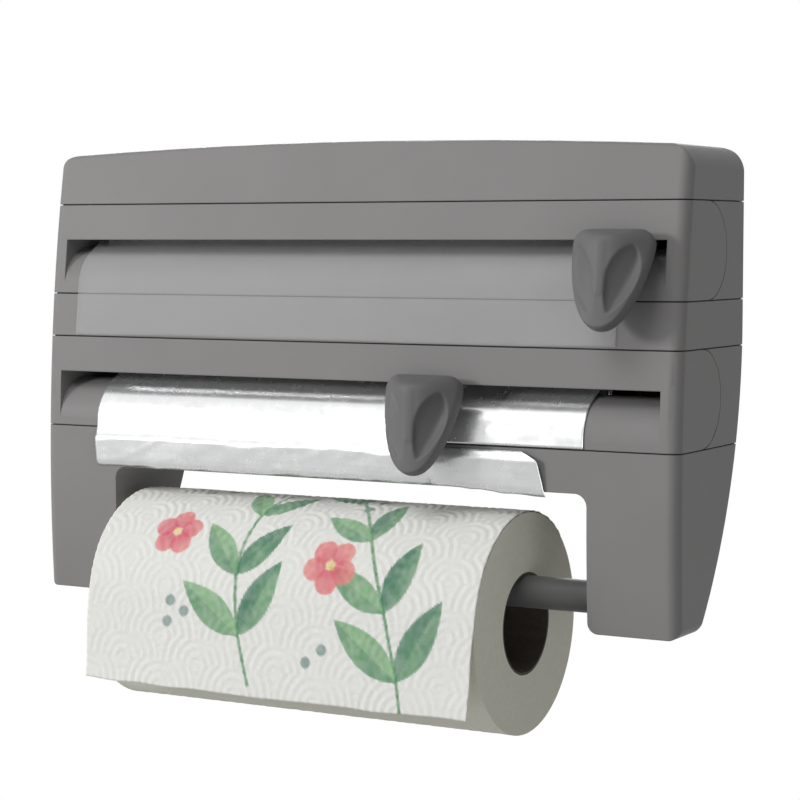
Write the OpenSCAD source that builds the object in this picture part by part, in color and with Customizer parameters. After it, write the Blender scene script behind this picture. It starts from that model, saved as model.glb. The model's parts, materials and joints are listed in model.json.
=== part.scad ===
// Triple kitchen roll holder for the wall: cling film, foil and a paper roll.
// X runs along the rolls, -Y is the front, Z is up. The wall is the plane Y = 0, and the
// origin lies on it, midway between the two wall screws.

/* [Housing] */
// Overall width
body_w = 380; // [350:1:420]
// Depth from the wall to the foremost point of the front
front_reach = 83; // [80:1:95]
// Height of that foremost point above the lower ends of the arms
front_reach_z = 65; // [40:1:90]
// Radius of the front in the side view
front_r = 1000; // [800:10:1500]
// Radius of the upright outer edges
corner_r = 6; // [4:0.5:8]
// Radius of the lower rear, which leaves the wall in a curve
rear_r = 235; // [225:1:300]
// Height at which that curve starts
rear_flat_z = 150; // [145:1:160]
// Wall thickness of the mouldings
wall = 2.5; // [2:0.1:3]
// Width of the seams between the mouldings
seam = 0.6; // [0.4:0.1:0.9]

/* [Heights, from the bottom up] */
// Arms, up to the underside of the crossbar
arm_h = 69; // [66:1:90]
// Crossbar
crossbar_h = 21.5; // [20:0.5:28]
// Foil front
foil_front_h = 49.5; // [48:0.5:54]
// Strip between the two fronts
strip_h = 23.5; // [20:0.5:30]
// Film front
film_front_h = 49; // [48:0.5:54]
// Top cover, at its ends
cover_h = 26.7; // [22:0.1:34]
// Extra height of the top cover in the middle
crown_rise = 5; // [3:0.5:8]

/* [Top cover and back plate] */
// Radius of the cover's upper end corners
cover_corner_r = 13; // [8:0.5:15]
// Radius along the cover's upper front and rear edges
cover_edge_r = 5; // [3:0.5:7]
// Thickness of the back plate
plate_t = 3; // [2.6:0.1:3.4]
// Clearance between the back plate and the mouldings round it
plate_gap = 0.3; // [0.2:0.05:0.5]
// Distance between the two wall screws
wall_screw_pitch = 300; // [240:1:320]
// Radius of the wall screw holes
wall_screw_r = 2.5; // [2:0.1:3]
// Radius of the holes in the web through which the wall screws are reached
access_r = 7; // [6:0.5:9]

/* [Arms] */
// Width of each arm
arm_w = 48; // [44:1:56]
// Radius of the arms' lower corners, seen from the front
arm_corner_r = 5.5; // [4:0.5:8]
// Radius of the arms' lower rear corner, seen from the side
arm_heel_r = 8; // [6:0.5:10]
// Fillet between arm and crossbar
arm_fillet_r = 6.5; // [4:0.5:9]

/* [Pull-out fronts] */
// Thickness of the side cheeks
cheek_t = 3; // [2.5:0.1:3.5]
// Depth of the D-shaped cheek behind the front face
cheek_depth = 52.5; // [48:0.5:54]
// Clearance between a cheek and the cut-out round it
cheek_gap = 0.4; // [0.3:0.05:0.6]
// Distance from the side to the end of the slot
slot_margin = 10; // [9:0.5:20]
// Height of the panel above the slot
lip_h = 19.4; // [17:0.1:21]
// Height of the slot at its neck
slot_gap = 4.2; // [4:0.1:5]
// Radius of the rounded shoulder below the slot
shoulder_r = 22; // [20:0.5:23]
// Length of the shoulder's inner end past its highest point
shoulder_tail = 1.5; // [1:0.1:2]
// Thickness of the trays
tray_t = 2; // [1.6:0.1:2.4]
// Gap under the tray
tray_gap = 0.4; // [0.3:0.05:0.6]
// Gap between the tray and the web behind it
tray_back_gap = 1; // [0.8:0.1:1.5]
// Height of the tray's rear edge above its axis
tray_rise = 10; // [6:0.5:14]
// Depth of the tray's front edge below its axis
tray_drop = 9; // [8:0.5:12]
// Thickness of the web that joins the two cheeks of a shell
web_t = 2.5; // [2:0.1:2.5]

/* [Cutters] */
// Distance of the film cutter from the right end of its slot
film_cutter_in = 24; // [15:1:300]
// Distance of the foil cutter from the right end of its slot
foil_cutter_in = 125; // [15:1:300]
// Side of the square rail
rail_s = 4; // [3:0.5:4.5]
// Height of the rail's centre above the slot
rail_lift = 4; // [3.5:0.1:5]
// Play of the carriage on its rail
rail_gap = 0.15; // [0.1:0.05:0.25]
// Wall of the carriage round the rail
carriage_t = 2; // [1.6:0.1:2.2]
// Length of the carriage
carriage_w = 28; // [22:1:34]
// Gap between the carriage and the front panel
carriage_gap = 0.3; // [0.25:0.05:0.5]
// Thickness of the stem in the slot
stem_t = 2.2; // [1.8:0.1:2.4]
// Width of the stem
stem_w = 18; // [14:1:22]
// Gap between the stem and the upper edge of the slot
stem_gap = 0.4; // [0.3:0.05:0.5]
// Depth of the stem in the grip
stem_hold = 5; // [4:0.5:7]
// Width of the grip
knob_w = 42; // [36:1:48]
// Height of the grip, along its back
knob_h = 52; // [48:1:56]
// Tilt of the grip's back from the front face, in degrees
knob_tilt = 18; // [10:1:20]
// Radius of the grip's upper corners
knob_corner_r = 7; // [5:0.5:9]
// Reach of the grip's ridge from the gap behind the grip
knob_reach = 21; // [19:0.5:26]
// Thickness of the grip at its rim
knob_rim = 7; // [5:0.5:9]
// Width of the grip's front ridge
knob_ridge_w = 7; // [5:0.5:9]
// Height of the grip's front ridge
knob_ridge_h = 23; // [18:0.5:26]
// Depth of the ridge's upper end below the grip's top
knob_ridge_drop = 3.5; // [2:0.5:6]
// Width of the rib behind the grip that holds the blade
knob_rib_w = 12; // [11:0.5:16]
// Length of that rib below the blade
knob_rib_end = 4; // [3:0.5:5]
// Height of the grip's top above the slot
knob_lift = 3; // [2:0.5:6]
// Gap between the grip and the front face
knob_gap = 2.6; // [2.4:0.1:4]
// Half length of the thumb hollows
hollow_len = 17; // [14:0.5:19]
// Half width of the thumb hollows
hollow_w = 7.5; // [5:0.5:8]
// Depth of the thumb hollows
hollow_depth = 3.8; // [2:0.1:5]
// Turn of the thumb hollows from upright, seen from the front, in degrees
hollow_turn = 15; // [10:1:18]
// Pitch of the thumb hollows, seen from the side, in degrees
hollow_pitch = 12; // [8:1:16]
// Thickness of the blade
blade_t = 0.6; // [0.4:0.1:0.8]
// Width of the blade
blade_w = 9; // [7:0.5:12]
// Depth of the blade in the grip
blade_hold = 4; // [3:0.5:5]

/* [Film and foil rolls] */
// Outer radius of the wound rolls
roll_r = 20; // [17:0.5:20.5]
// Inner radius of their cores
core_r = 14.5; // [12:0.5:15]
// Thickness of their cores
core_t = 1.2; // [1:0.1:1.6]
// Width of the film
film_w = 326; // [280:1:335]
// Distance from the left end of the slot to the film
film_side_gap = 10; // [8:1:20]
// Width of the foil
foil_w = 294; // [280:1:300]
// Distance from the left end of the slot to the foil
foil_side_gap = 26; // [10:1:30]
// Thickness of the sheets
sheet_t = 0.4; // [0.3:0.05:0.5]
// Gap between a roll or sheet and what it lies on
rest_gap = 0.3; // [0.25:0.05:0.4]
// Height of the film's end above the strip's lower edge
film_end = 1; // [1:0.5:10]
// Height of the foil's end above the crossbar's underside
foil_end = 0.5; // [0.5:0.5:8]
// Width of the cut-off foil that hangs right of the cutter
foil_flap_w = 65; // [40:1:80]
// Drop of that piece's cut edge at its outer corner
foil_flap_drop = 5; // [2:0.5:8]
// Distance by which its lower corner hangs below the rest
foil_flap_sag = 3; // [0:0.5:3]

/* [Paper roll and rod] */
// Radius of the rod
rod_r = 8.2; // [7:0.1:10]
// Height of the rod's axis above the lower ends of the arms
rod_z = 16; // [14:0.5:24]
// Distance from the wall to the rod's axis
rod_y = 66; // [62:0.5:70]
// Radius of the rod's end pins
pin_r = 4; // [3:0.1:5]
// Length of the end pins
pin_len = 8.5; // [6:0.5:10]
// Radial clearance of pins and plunger
run_gap = 0.07; // [0.03:0.01:0.1]
// Gap between the rod's shoulders and the arms
rod_end_gap = 0.4; // [0.3:0.05:0.6]
// Wall of the sleeve round the plunger
sleeve_t = 1.8; // [1.4:0.1:2.4]
// Length of the plunger that shows beside the sleeve
plunger_out = 46; // [30:1:60]
// Length of the plunger inside the sleeve
plunger_in = 55; // [40:1:70]
// Length of the spring
spring_len = 60; // [50:1:70]
// Radius of the spring's wire
spring_wire_r = 0.6; // [0.4:0.05:0.7]
// Number of turns of the spring
spring_turns = 12; // [8:1:14]
// Wall of the sockets in the arms
socket_t = 3.5; // [2.5:0.1:5]
// Width of the paper roll
paper_w = 232; // [220:1:236]
// Distance from the left arm to the paper roll
paper_side_gap = 11; // [6:1:22]
// Outer radius of the paper roll
paper_r = 56.5; // [45:0.5:57]
// Inner radius of its core
paper_core_r = 25; // [20:0.5:26]
// Thickness of its core
paper_core_t = 1.2; // [1:0.1:2]
// Length of the paper that hangs free
paper_tail = 46; // [20:1:60]
// Forward lean of the hanging paper, in degrees
paper_lean = 7; // [0:0.5:10]

/* [Case screws] */
// Radius of the shank
screw_r = 1.4; // [1.2:0.1:1.6]
// Length of the shank
screw_len = 12; // [10:0.5:14]
// Radius of the head
screw_head_r = 2.5; // [2.2:0.1:2.8]
// Height of the head
screw_head_h = 1.2; // [1:0.1:1.3]
// Depth of the recess that the head sits in
screw_recess = 1.4; // [1.4:0.1:1.6]
// Wall of the bosses round the screws
boss_t = 2.5; // [2:0.1:3]

/* [Hidden] */

FOIL = 0;
FILM = 1;
FINE = 64;
LARGE = 720;
HUGE = 1440;
eps = 0.01;
// How far a rounding reaches past the side, front or rear that trims it
side_over = 0.05;
edge_over = 0.6;
// How far cutting spaces and round forms reach past the housing
far_over = 60;
form_over = 50;
ends_over = 10;
// Distance of the case screws from the slot's ends: most of them, and those in the crossbar
screw_in = 30;
bar_screw_in = 60;

// Levels, counted from the lower ends of the arms
bar_z = arm_h;
foil_z = bar_z + crossbar_h;
strip_z = foil_z + foil_front_h;
film_z = strip_z + strip_h;
cover_z = film_z + film_front_h;
top_z = cover_z + cover_h + crown_rise;
wall_screw_z = film_z + film_front_h / 2;

half_w = body_w / 2;
arm_x = half_w - arm_w;
far = front_reach + far_over;
front_axis_y = front_r - front_reach;
form_depth = front_reach + form_over;
form_angle = 2 * asin((top_z + ends_over) / (front_r - form_depth));
crown_r = (half_w * half_w + crown_rise * crown_rise) / (2 * crown_rise);
crown_angle = 2 * asin((half_w + ends_over) / crown_r);

// The front face, and faces set in behind it, as Y at a height
function front_y(z, inset = 0) =
    front_axis_y - sqrt(pow(front_r - inset, 2) - pow(z - front_reach_z, 2));
// The rear, and faces set in before it, as Y at a height
function rear_y(z, inset = 0) =
    z >= rear_flat_z ? -inset : sqrt(pow(rear_r - inset, 2) - pow(rear_flat_z - z, 2)) - rear_r;
// Lean of the front face from upright, in degrees
function front_lean(z) = asin((z - front_reach_z) / front_r);
// Height of the crowned top at a place along the width
function crown_z(x) = top_z - crown_r + sqrt(crown_r * crown_r - x * x);

// The two pull-out fronts, foil first
front_lo = [foil_z, film_z];
front_hi = [strip_z, cover_z];
mid_z = (front_lo + front_hi) / 2;
cheek_r = [for (i = [FOIL, FILM]) (front_hi[i] - front_lo[i] - seam) / 2];
cheek_y = [for (i = [FOIL, FILM]) front_y(mid_z[i]) + cheek_depth - cheek_r[i]];
slot_half = half_w - slot_margin;
slot_w = 2 * slot_half;
slot_z = [for (i = [FOIL, FILM]) front_hi[i] - lip_h];
shoulder_z = [for (i = [FOIL, FILM]) slot_z[i] - slot_gap - shoulder_r];
shoulder_y = [for (i = [FOIL, FILM]) front_y(shoulder_z[i], shoulder_r)];
shoulder_lean = [for (i = [FOIL, FILM]) asin((shoulder_z[i] - front_reach_z) / (front_r - shoulder_r))];
shoulder_low_z = [for (i = [FOIL, FILM]) shoulder_z[i] + shoulder_r * sin(shoulder_lean[i])];

// Trays and the rolls that lie in them
web_inset = plate_t + plate_gap;
tray_r = [for (i = [FOIL, FILM]) cheek_r[i] - tray_gap - tray_t];
tray_y = [for (i = [FOIL, FILM])
    rear_y(mid_z[i], web_inset + web_t) - tray_back_gap - tray_r[i] - tray_t];
roll_z = [for (i = [FOIL, FILM]) mid_z[i] - tray_r[i] + rest_gap + roll_r];
film_x0 = -slot_half + film_side_gap;
foil_x0 = -slot_half + foil_side_gap;
roll_x0 = [foil_x0, film_x0];
roll_w = [foil_w, film_w];

// The cut in the foil, and the laps and steps that join the stretches of a sheet
foil_cut_gap = 1;
sheet_lap = 0.4;
sheet_step = 0.1;

// Cutters
film_cutter_x = slot_half - film_cutter_in;
foil_cutter_x = slot_half - foil_cutter_in;
cutter_x = [foil_cutter_x, film_cutter_x];
stem_hi_z = [for (i = [FOIL, FILM]) slot_z[i] - stem_gap];
rail_z = [for (i = [FOIL, FILM]) slot_z[i] + rail_lift];
carriage_s = rail_s + 2 * rail_gap + 2 * carriage_t;
carriage_hi_z = [for (i = [FOIL, FILM]) rail_z[i] + carriage_s / 2];
carriage_y = [for (i = [FOIL, FILM]) front_y(carriage_hi_z[i], wall) + carriage_gap];
knob_z = [for (i = [FOIL, FILM]) slot_z[i] + knob_lift - knob_h / 2];
knob_stem_z = knob_h / 2 - knob_lift - stem_gap - stem_t / 2;
blade_tip_gap = rest_gap + sheet_step + sheet_t + rest_gap;
// Shape of a grip's sides and lower end, the points along them, and the thickness of the ridge's front
shield_sides = 1.25;
shield_tip = 0.45;
shield_steps = 12;
ridge_t = 2;

// Sheets: where they leave the roll and where they meet the shoulder
sheet_in_r = roll_r + rest_gap;
sheet_out_r = shoulder_r + rest_gap;
sheet_dy = [for (i = [FOIL, FILM]) shoulder_y[i] - tray_y[i]];
sheet_dz = [for (i = [FOIL, FILM]) shoulder_z[i] - roll_z[i]];
sheet_turn = [for (i = [FOIL, FILM])
    atan2(sheet_dz[i], sheet_dy[i])
    - acos((sheet_in_r - sheet_out_r) / norm([sheet_dy[i], sheet_dz[i]]))];

// Rod and paper roll
rod_axis = [-rod_y, rod_z];
rod_half = arm_x - rod_end_gap;
plunger_r = rod_r - sleeve_t - run_gap;
sleeve_x = -rod_half + plunger_out;
plunger_x = sleeve_x + plunger_in;
spring_coil_r = plunger_r - spring_wire_r - run_gap - 0.4;
paper_x0 = -arm_x + paper_side_gap;
paper_z = rod_z + rod_r + rest_gap - paper_core_r;
paper_leave = 180 - paper_lean;
paper_wrap = 45;
// Case screws: X and height, with the left and right one of each pair. The rim is what is left of the
// back plate beside the heads.
screw_rim = 0.7;
web_screw_x = half_w - cheek_t - 2 * plate_gap - screw_head_r - screw_rim;
screw_rows = [
    [slot_half - screw_in, cover_z + cover_h / 2],
    [web_screw_x, film_z + film_front_h / 2],
    [slot_half - screw_in, strip_z + strip_h / 2],
    [web_screw_x, foil_z + foil_front_h / 2],
    [slot_half - bar_screw_in, bar_z + crossbar_h / 2]
];
boss_r = screw_r + boss_t;

body_grey = "#898686";
knob_grey = "#6c6c6c";
rod_grey = "#575757";

// Lifts a shape from the level of the arms' lower ends to the origin's level
module place() {
    translate([0, 0, -wall_screw_z]) children();
}

// Extrudes a side view (Y, Z) from one X to another
module along_x(x0, x1) {
    translate([x0, 0, 0]) rotate([90, 0, 90]) linear_extrude(x1 - x0) children();
}

// Extrudes a front view (X, Z) from a front Y to a rear Y
module along_y(y0, y1) {
    translate([0, y1, 0]) rotate([90, 0, 0]) linear_extrude(y1 - y0) children();
}

// A cylinder along X at a place in the side view
module rod_at(yz, r, x0, x1, fn = FINE) {
    translate([x0, yz[0], yz[1]]) rotate([0, 90, 0]) cylinder(r = r, h = x1 - x0, $fn = fn);
}

// A slice of space between two heights
module band(z0, z1) {
    translate([-body_w, -far, z0]) cube([2 * body_w, 2 * far, z1 - z0]);
}

// Space between two faces left and right of the middle
module between(x) {
    translate([-x, -far, -far]) cube([2 * x, 2 * far, top_z + 2 * far]);
}

// Everything behind the curved front with its rounded upright edges
module front_form(inset) {
    r = front_r - inset;
    c = max(corner_r - inset, 1);
    w = half_w - inset;
    translate([0, front_axis_y, front_reach_z]) rotate([0, 90, 0]) rotate([0, 0, -90 - form_angle / 2])
        rotate_extrude(angle = form_angle, $fn = LARGE) {
            translate([front_r - form_depth, -w]) square([r - c - front_r + form_depth, 2 * w]);
            translate([front_r - form_depth, c - w]) square([r - front_r + form_depth, 2 * (w - c)]);
            for (side = [-1, 1]) translate([r - c, side * (w - c)]) circle(r = c, $fn = FINE);
        }
}

// Everything before the rear, which is flat above and curved below
module rear_form(inset) {
    rod_at([-rear_r, rear_flat_z], rear_r - inset, -body_w, body_w, LARGE);
    translate([-body_w, -rear_r, rear_flat_z]) cube([2 * body_w, rear_r - inset, top_z]);
}

// Everything under the crowned top of the cover
module crown_form(inset) {
    r = crown_r - inset;
    c = max(cover_edge_r - inset, 1);
    rear_h = inset - edge_over;
    front_h = edge_over - inset - front_y(top_z - cover_edge_r - crown_rise);
    corner_c = max(cover_corner_r - inset, 1);
    corner_x = half_w - cover_corner_r + side_over;
    corner_z = crown_z(corner_x) - cover_corner_r;
    depth = top_z + far;
    intersection() {
        translate([0, 0, top_z - crown_r]) rotate([90, 0, 0]) rotate([0, 0, 90 - crown_angle / 2])
            rotate_extrude(angle = crown_angle, $fn = HUGE) {
                translate([crown_r - depth, -far]) square([depth - inset - c, 2 * far]);
                translate([crown_r - depth, rear_h + c]) square([depth - inset, front_h - rear_h - 2 * c]);
                for (h = [rear_h + c, front_h - c]) translate([r - c, h]) circle(r = c, $fn = FINE);
            }
        along_y(-far, far) {
            translate([-half_w - side_over, -far]) square([body_w + 2 * side_over, corner_z + far]);
            translate([-corner_x, -far]) square([2 * corner_x, 2 * top_z + far]);
            for (side = [-1, 1]) translate([side * corner_x, corner_z]) circle(r = corner_c, $fn = FINE);
        }
    }
}

// Outline of crossbar and arms from the front, set in from all edges
module arm_outline(inset) {
    c = max(arm_corner_r - inset, 1);
    top = foil_z - seam / 2 - inset;
    outer = half_w - inset + side_over;
    inner = arm_x + inset;
    translate([-outer, bar_z + inset]) square([2 * outer, top - bar_z - inset]);
    for (side = [0, 1]) mirror([side, 0]) {
        translate([inner, inset + c]) square([outer - inner, top - inset - c]);
        translate([inner + c, inset]) square([outer - inner - 2 * c, c]);
        for (x = [inner + c, outer - c]) translate([x, inset + c]) circle(r = c, $fn = FINE);
    }
}

// Rounds the lower rear corner of the arms in the side view
module heel_form(inset) {
    c = max(arm_heel_r - inset, 1);
    heel_y = rear_y(arm_heel_r, inset) - c + edge_over;
    along_x(-body_w, body_w) {
        translate([-far, inset]) square([far + heel_y, c]);
        translate([heel_y, inset + c]) circle(r = c, $fn = FINE);
        translate([-far, inset + c]) square([2 * far, top_z]);
    }
}

// Side view of a pull-out front: straight in front, full round at the rear
module cheek_form(i, grow) {
    r = cheek_r[i] + grow;
    along_x(-body_w, body_w) {
        translate([cheek_y[i], mid_z[i]]) circle(r = r, $fn = FINE * 2);
        translate([-far, mid_z[i] - r]) square([far + cheek_y[i], 2 * r]);
    }
}

// Space of one screw of each row: shank from the rear, with its head or recess
module screw_at(row, side, shank_r, shank_len, head_r, head_h, head_y) {
    translate([side * row[0], rear_y(row[1]) + head_y, row[1]]) rotate([90, 0, 0]) {
        cylinder(r = shank_r, h = shank_len, $fn = FINE);
        translate([0, 0, -head_h]) cylinder(r = head_r, h = head_h, $fn = FINE);
    }
}

// A boss for one pair of screws, from the back plate forward
module screw_bosses(row) {
    y = rear_y(row[1], web_inset);
    for (side = [-1, 1]) translate([side * row[0], y, row[1]]) rotate([90, 0, 0])
        cylinder(r = boss_r, h = screw_len, $fn = FINE);
}

// The pilot holes in those bosses
module screw_pilots(row) {
    for (side = [-1, 1])
        screw_at(row, side, screw_r + run_gap, screw_len + 1, screw_r + run_gap, eps, -screw_recess);
}

module back_plate() {
    color(body_grey) place() difference() {
        intersection() {
            difference() {
                rear_form(0);
                rear_form(plate_t);
            }
            front_form(cheek_t + plate_gap);
            crown_form(wall + plate_gap);
            heel_form(wall + plate_gap);
            union() {
                along_y(-far, far) arm_outline(wall + plate_gap);
                band(bar_z + crossbar_h / 2, top_z);
            }
        }
        for (row = screw_rows, side = [-1, 1])
            screw_at(row, side, screw_r + plate_gap, plate_t * 2,
                screw_head_r + plate_gap, plate_t, -screw_recess);
        for (side = [-1, 1]) translate([side * wall_screw_pitch / 2, eps, wall_screw_z]) rotate([90, 0, 0])
            cylinder(r = wall_screw_r, h = plate_t + 1, $fn = FINE);
    }
}

module top_cover() {
    color(body_grey) place() difference() {
        union() {
            difference() {
                intersection() {
                    front_form(0);
                    rear_form(0);
                    crown_form(0);
                    band(cover_z + seam / 2, top_z + 1);
                }
                intersection() {
                    front_form(wall);
                    crown_form(wall);
                    band(cover_z + seam / 2 + wall, top_z);
                }
                // Deck cut back at the rear to let the back plate in
                intersection() {
                    front_form(cheek_t);
                    band(cover_z, cover_z + seam / 2 + wall + eps);
                    translate([-body_w, -web_inset, cover_z]) cube([2 * body_w, far, far]);
                }
            }
            intersection() {
                screw_ribs(screw_rows[0]);
                front_form(wall / 2);
                crown_form(wall / 2);
                band(cover_z + seam / 2, top_z);
            }
        }
        screw_pilots(screw_rows[0]);
    }
}

// Bosses of a pair of screws, each on an upright rib that reaches the front wall
module screw_ribs(row) {
    screw_bosses(row);
    y = rear_y(row[1], web_inset);
    for (side = [-1, 1]) translate([side * row[0] - wall / 2, -far, row[1] - far])
        cube([wall, far + y - arm_heel_r, 2 * far]);
}

// Two side cheeks with their D-shaped cut-outs, joined by a web at the rear
module bay_shell(i, row) {
    difference() {
        union() {
            difference() {
                intersection() {
                    front_form(0);
                    rear_form(0);
                    band(front_lo[i] + seam / 2, front_hi[i] - seam / 2);
                }
                front_form(cheek_t);
            }
            intersection() {
                difference() {
                    rear_form(web_inset);
                    rear_form(web_inset + web_t);
                }
                front_form(cheek_t / 2);
                band(front_lo[i] + seam / 2, front_hi[i] - seam / 2);
            }
            difference() {
                intersection() {
                    screw_bosses(row);
                    front_form(cheek_t / 2);
                    rear_form(web_inset);
                }
                between(slot_half + cheek_gap);
            }
        }
        cheek_form(i, cheek_gap);
        screw_pilots(row);
    }
}

module upper_shell() {
    color(body_grey) place() difference() {
        bay_shell(FILM, screw_rows[1]);
        for (side = [-1, 1]) translate([side * wall_screw_pitch / 2, 0, wall_screw_z]) rotate([90, 0, 0])
            cylinder(r = access_r, h = far, $fn = FINE);
    }
}

module lower_shell() {
    color(body_grey) place() bay_shell(FOIL, screw_rows[3]);
}

module middle_rail() {
    lo = strip_z + seam / 2;
    hi = film_z - seam / 2;
    color(body_grey) place() difference() {
        union() {
            difference() {
                intersection() {
                    front_form(0);
                    rear_form(0);
                    band(lo, hi);
                }
                intersection() {
                    front_form(wall);
                    band(lo + wall, hi - wall);
                }
                // Decks cut back at the rear to let the back plate in
                difference() {
                    front_form(cheek_t);
                    rear_form(web_inset);
                }
            }
            intersection() {
                screw_ribs(screw_rows[2]);
                front_form(wall / 2);
                band(lo, hi);
            }
        }
        screw_pilots(screw_rows[2]);
    }
}

module arm_frame() {
    color(body_grey) place() difference() {
        union() {
            difference() {
                intersection() {
                    front_form(0);
                    rear_form(0);
                    heel_form(0);
                    along_y(-far, far) {
                        arm_outline(0);
                        arm_fillets();
                    }
                }
                intersection() {
                    front_form(wall);
                    heel_form(wall);
                    along_y(-far, far) arm_outline(wall);
                }
                // Top deck cut back at the rear to let the back plate in
                difference() {
                    intersection() {
                        front_form(cheek_t);
                        band(foil_z - seam / 2 - wall - eps, foil_z);
                    }
                    rear_form(web_inset);
                }
            }
            intersection() {
                screw_ribs(screw_rows[4]);
                front_form(wall / 2);
                rear_form(web_inset);
                band(bar_z + eps, foil_z - seam / 2);
            }
            for (side = [0, 1]) mirror([side, 0, 0])
                rod_at(rod_axis, pin_r + run_gap + socket_t,
                       arm_x + eps, arm_x + pin_len + wall + rod_end_gap);
        }
        screw_pilots(screw_rows[4]);
        for (side = [0, 1]) mirror([side, 0, 0])
            rod_at(rod_axis, pin_r + run_gap, arm_x - 1, arm_x + pin_len);
    }
}

// Fillets between the arms and the crossbar's underside
module arm_fillets() {
    for (side = [0, 1]) mirror([side, 0]) difference() {
        translate([arm_x - arm_fillet_r, bar_z - arm_fillet_r]) square(arm_fillet_r + eps);
        translate([arm_x - arm_fillet_r, bar_z - arm_fillet_r]) circle(r = arm_fillet_r, $fn = FINE);
    }
}

module case_screws() {
    color("silver") place() for (row = screw_rows, side = [-1, 1])
        screw_at(row, side, screw_r, screw_len, screw_head_r, screw_head_h, -screw_recess);
}

// Rounded shoulder that the sheet runs over
module shoulder(i) {
    intersection() {
        difference() {
            rod_at([shoulder_y[i], shoulder_z[i]], shoulder_r,
                -slot_half - wall / 2, slot_half + wall / 2, LARGE);
            rod_at([shoulder_y[i], shoulder_z[i]], shoulder_r - wall, -body_w, body_w, LARGE);
        }
        translate([-body_w, -far, max(shoulder_low_z[i], front_lo[i] + seam / 2)])
            cube([2 * body_w, far + shoulder_y[i] + shoulder_tail, far]);
    }
}

// Front panel with its slot, its shoulder, two cheeks and two inner end plates
module pull_out_front(i) {
    color(body_grey) place() difference() {
        union() {
            difference() {
                intersection() {
                    front_form(0);
                    cheek_form(i, 0);
                }
                intersection() {
                    front_form(wall);
                    between(half_w - cheek_t);
                }
                translate([-slot_half, -far, shoulder_low_z[i]])
                    cube([slot_w, far + shoulder_y[i], slot_z[i] - shoulder_low_z[i]]);
            }
            shoulder(i);
            intersection() {
                front_form(wall / 2);
                cheek_form(i, 0);
                difference() {
                    between(slot_half + wall);
                    between(slot_half);
                }
            }
        }
        rail_bar(i, 0);
    }
}

module film_front() {
    pull_out_front(FILM);
}

module foil_front() {
    pull_out_front(FOIL);
}

// Trough for the roll, with a floor that reaches the front panel and two end plates
module roll_tray(i, colour) {
    axis = [tray_y[i], mid_z[i]];
    outer_r = tray_r[i] + tray_t;
    floor_z = mid_z[i] - outer_r;
    color(colour) place() intersection() {
        union() {
            difference() {
                tray_form(i, outer_r);
                rod_at(axis, tray_r[i], -slot_half + tray_t, slot_half - tray_t, FINE * 2);
            }
            translate([-slot_half, -far, floor_z]) cube([slot_w, far + tray_y[i], tray_t]);
        }
        front_form(wall + plate_gap);
    }
}

// Round space of a tray, cut down in front and at the rear
module tray_form(i, r) {
    intersection() {
        rod_at([tray_y[i], mid_z[i]], r, -slot_half, slot_half, FINE * 2);
        union() {
            translate([-body_w, tray_y[i], 0]) cube([2 * body_w, far, mid_z[i] + tray_rise]);
            translate([-body_w, shoulder_y[i] + shoulder_tail + tray_t, 0])
                cube([2 * body_w, far, mid_z[i] - tray_drop]);
        }
    }
}

module film_tray() {
    roll_tray(FILM, body_grey);
}

module foil_tray() {
    roll_tray(FOIL, body_grey);
}

// Square bar behind the slot, seated in the end plates
module rail_bar(i, gap) {
    s = rail_s + 2 * gap;
    y = carriage_y[i] + carriage_s / 2;
    translate([-slot_half - wall - gap, y - s / 2, rail_z[i] - s / 2])
        cube([slot_w + 2 * (wall + gap), s, s]);
}

module film_cutter_rail() {
    color("silver") place() rail_bar(FILM, 0);
}

module foil_cutter_rail() {
    color("silver") place() rail_bar(FOIL, 0);
}

// Stem through the slot, from the carriage into the grip
module cutter_stem(i) {
    y0 = front_y(knob_z[i]) - knob_gap - stem_hold;
    translate([cutter_x[i] - stem_w / 2, y0, stem_hi_z[i] - stem_t])
        cube([stem_w, carriage_y[i] + carriage_t - y0, stem_t]);
}

// Runner round the rail, with its stem
module cutter_carriage(i) {
    lo = stem_hi_z[i] - stem_t;
    color(knob_grey) place() difference() {
        union() {
            translate([cutter_x[i] - carriage_w / 2, carriage_y[i], lo])
                cube([carriage_w, carriage_s, carriage_hi_z[i] - lo]);
            cutter_stem(i);
        }
        rail_bar(i, rail_gap);
    }
}

module film_carriage() {
    cutter_carriage(FILM);
}

module foil_carriage() {
    cutter_carriage(FOIL);
}

// Moves a shape from a flat front at the origin to the front face behind a grip
module on_front(i) {
    translate([cutter_x[i], front_y(knob_z[i]), knob_z[i]]) rotate([-front_lean(knob_z[i]), 0, 0]) children();
}

// Back of a grip, which tilts about its stem, as Y at a height
function knob_back_y(z) = -knob_gap - (knob_stem_z - z) * tan(knob_tilt);
// Half width of a grip at a share of the way down from its upper corners
function shield_half(t) = knob_w / 2 * pow(1 - pow(t, shield_sides), shield_tip);

// Shield outline of a grip: two upper corners, bulging sides and a round lower end
module shield() {
    corner_z = knob_h / 2 - knob_corner_r;
    shares = [for (k = [0:shield_steps]) 1 - pow(1 - k / shield_steps, 2)];
    hull() for (side = [-1, 1]) {
        translate([side * (knob_w / 2 - knob_corner_r), corner_z]) circle(r = knob_corner_r, $fn = 32);
        polygon(concat([[0, corner_z]],
            [for (t = shares) [side * shield_half(t), corner_z - t * (corner_z + knob_h / 2)]]));
    }
}

// Front of a grip's ridge, round at both ends
module ridge() {
    r = knob_ridge_w / 2;
    top = knob_h / 2 - knob_ridge_drop;
    hull() for (z = [top - r, top - knob_ridge_h + r]) translate([0, z]) circle(r = r, $fn = 24);
}

// Rib behind a grip that holds its blade
module blade_rib(i) {
    high = knob_stem_z - stem_t;
    low = front_lo[i] - knob_z[i] - knob_rib_end;
    along_x(-knob_rib_w / 2, knob_rib_w / 2)
        polygon([[-knob_gap, high], [-knob_gap, low], [knob_back_y(low) - knob_rim / 2, low],
            [knob_back_y(high) - knob_rim / 2, high]]);
}

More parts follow.
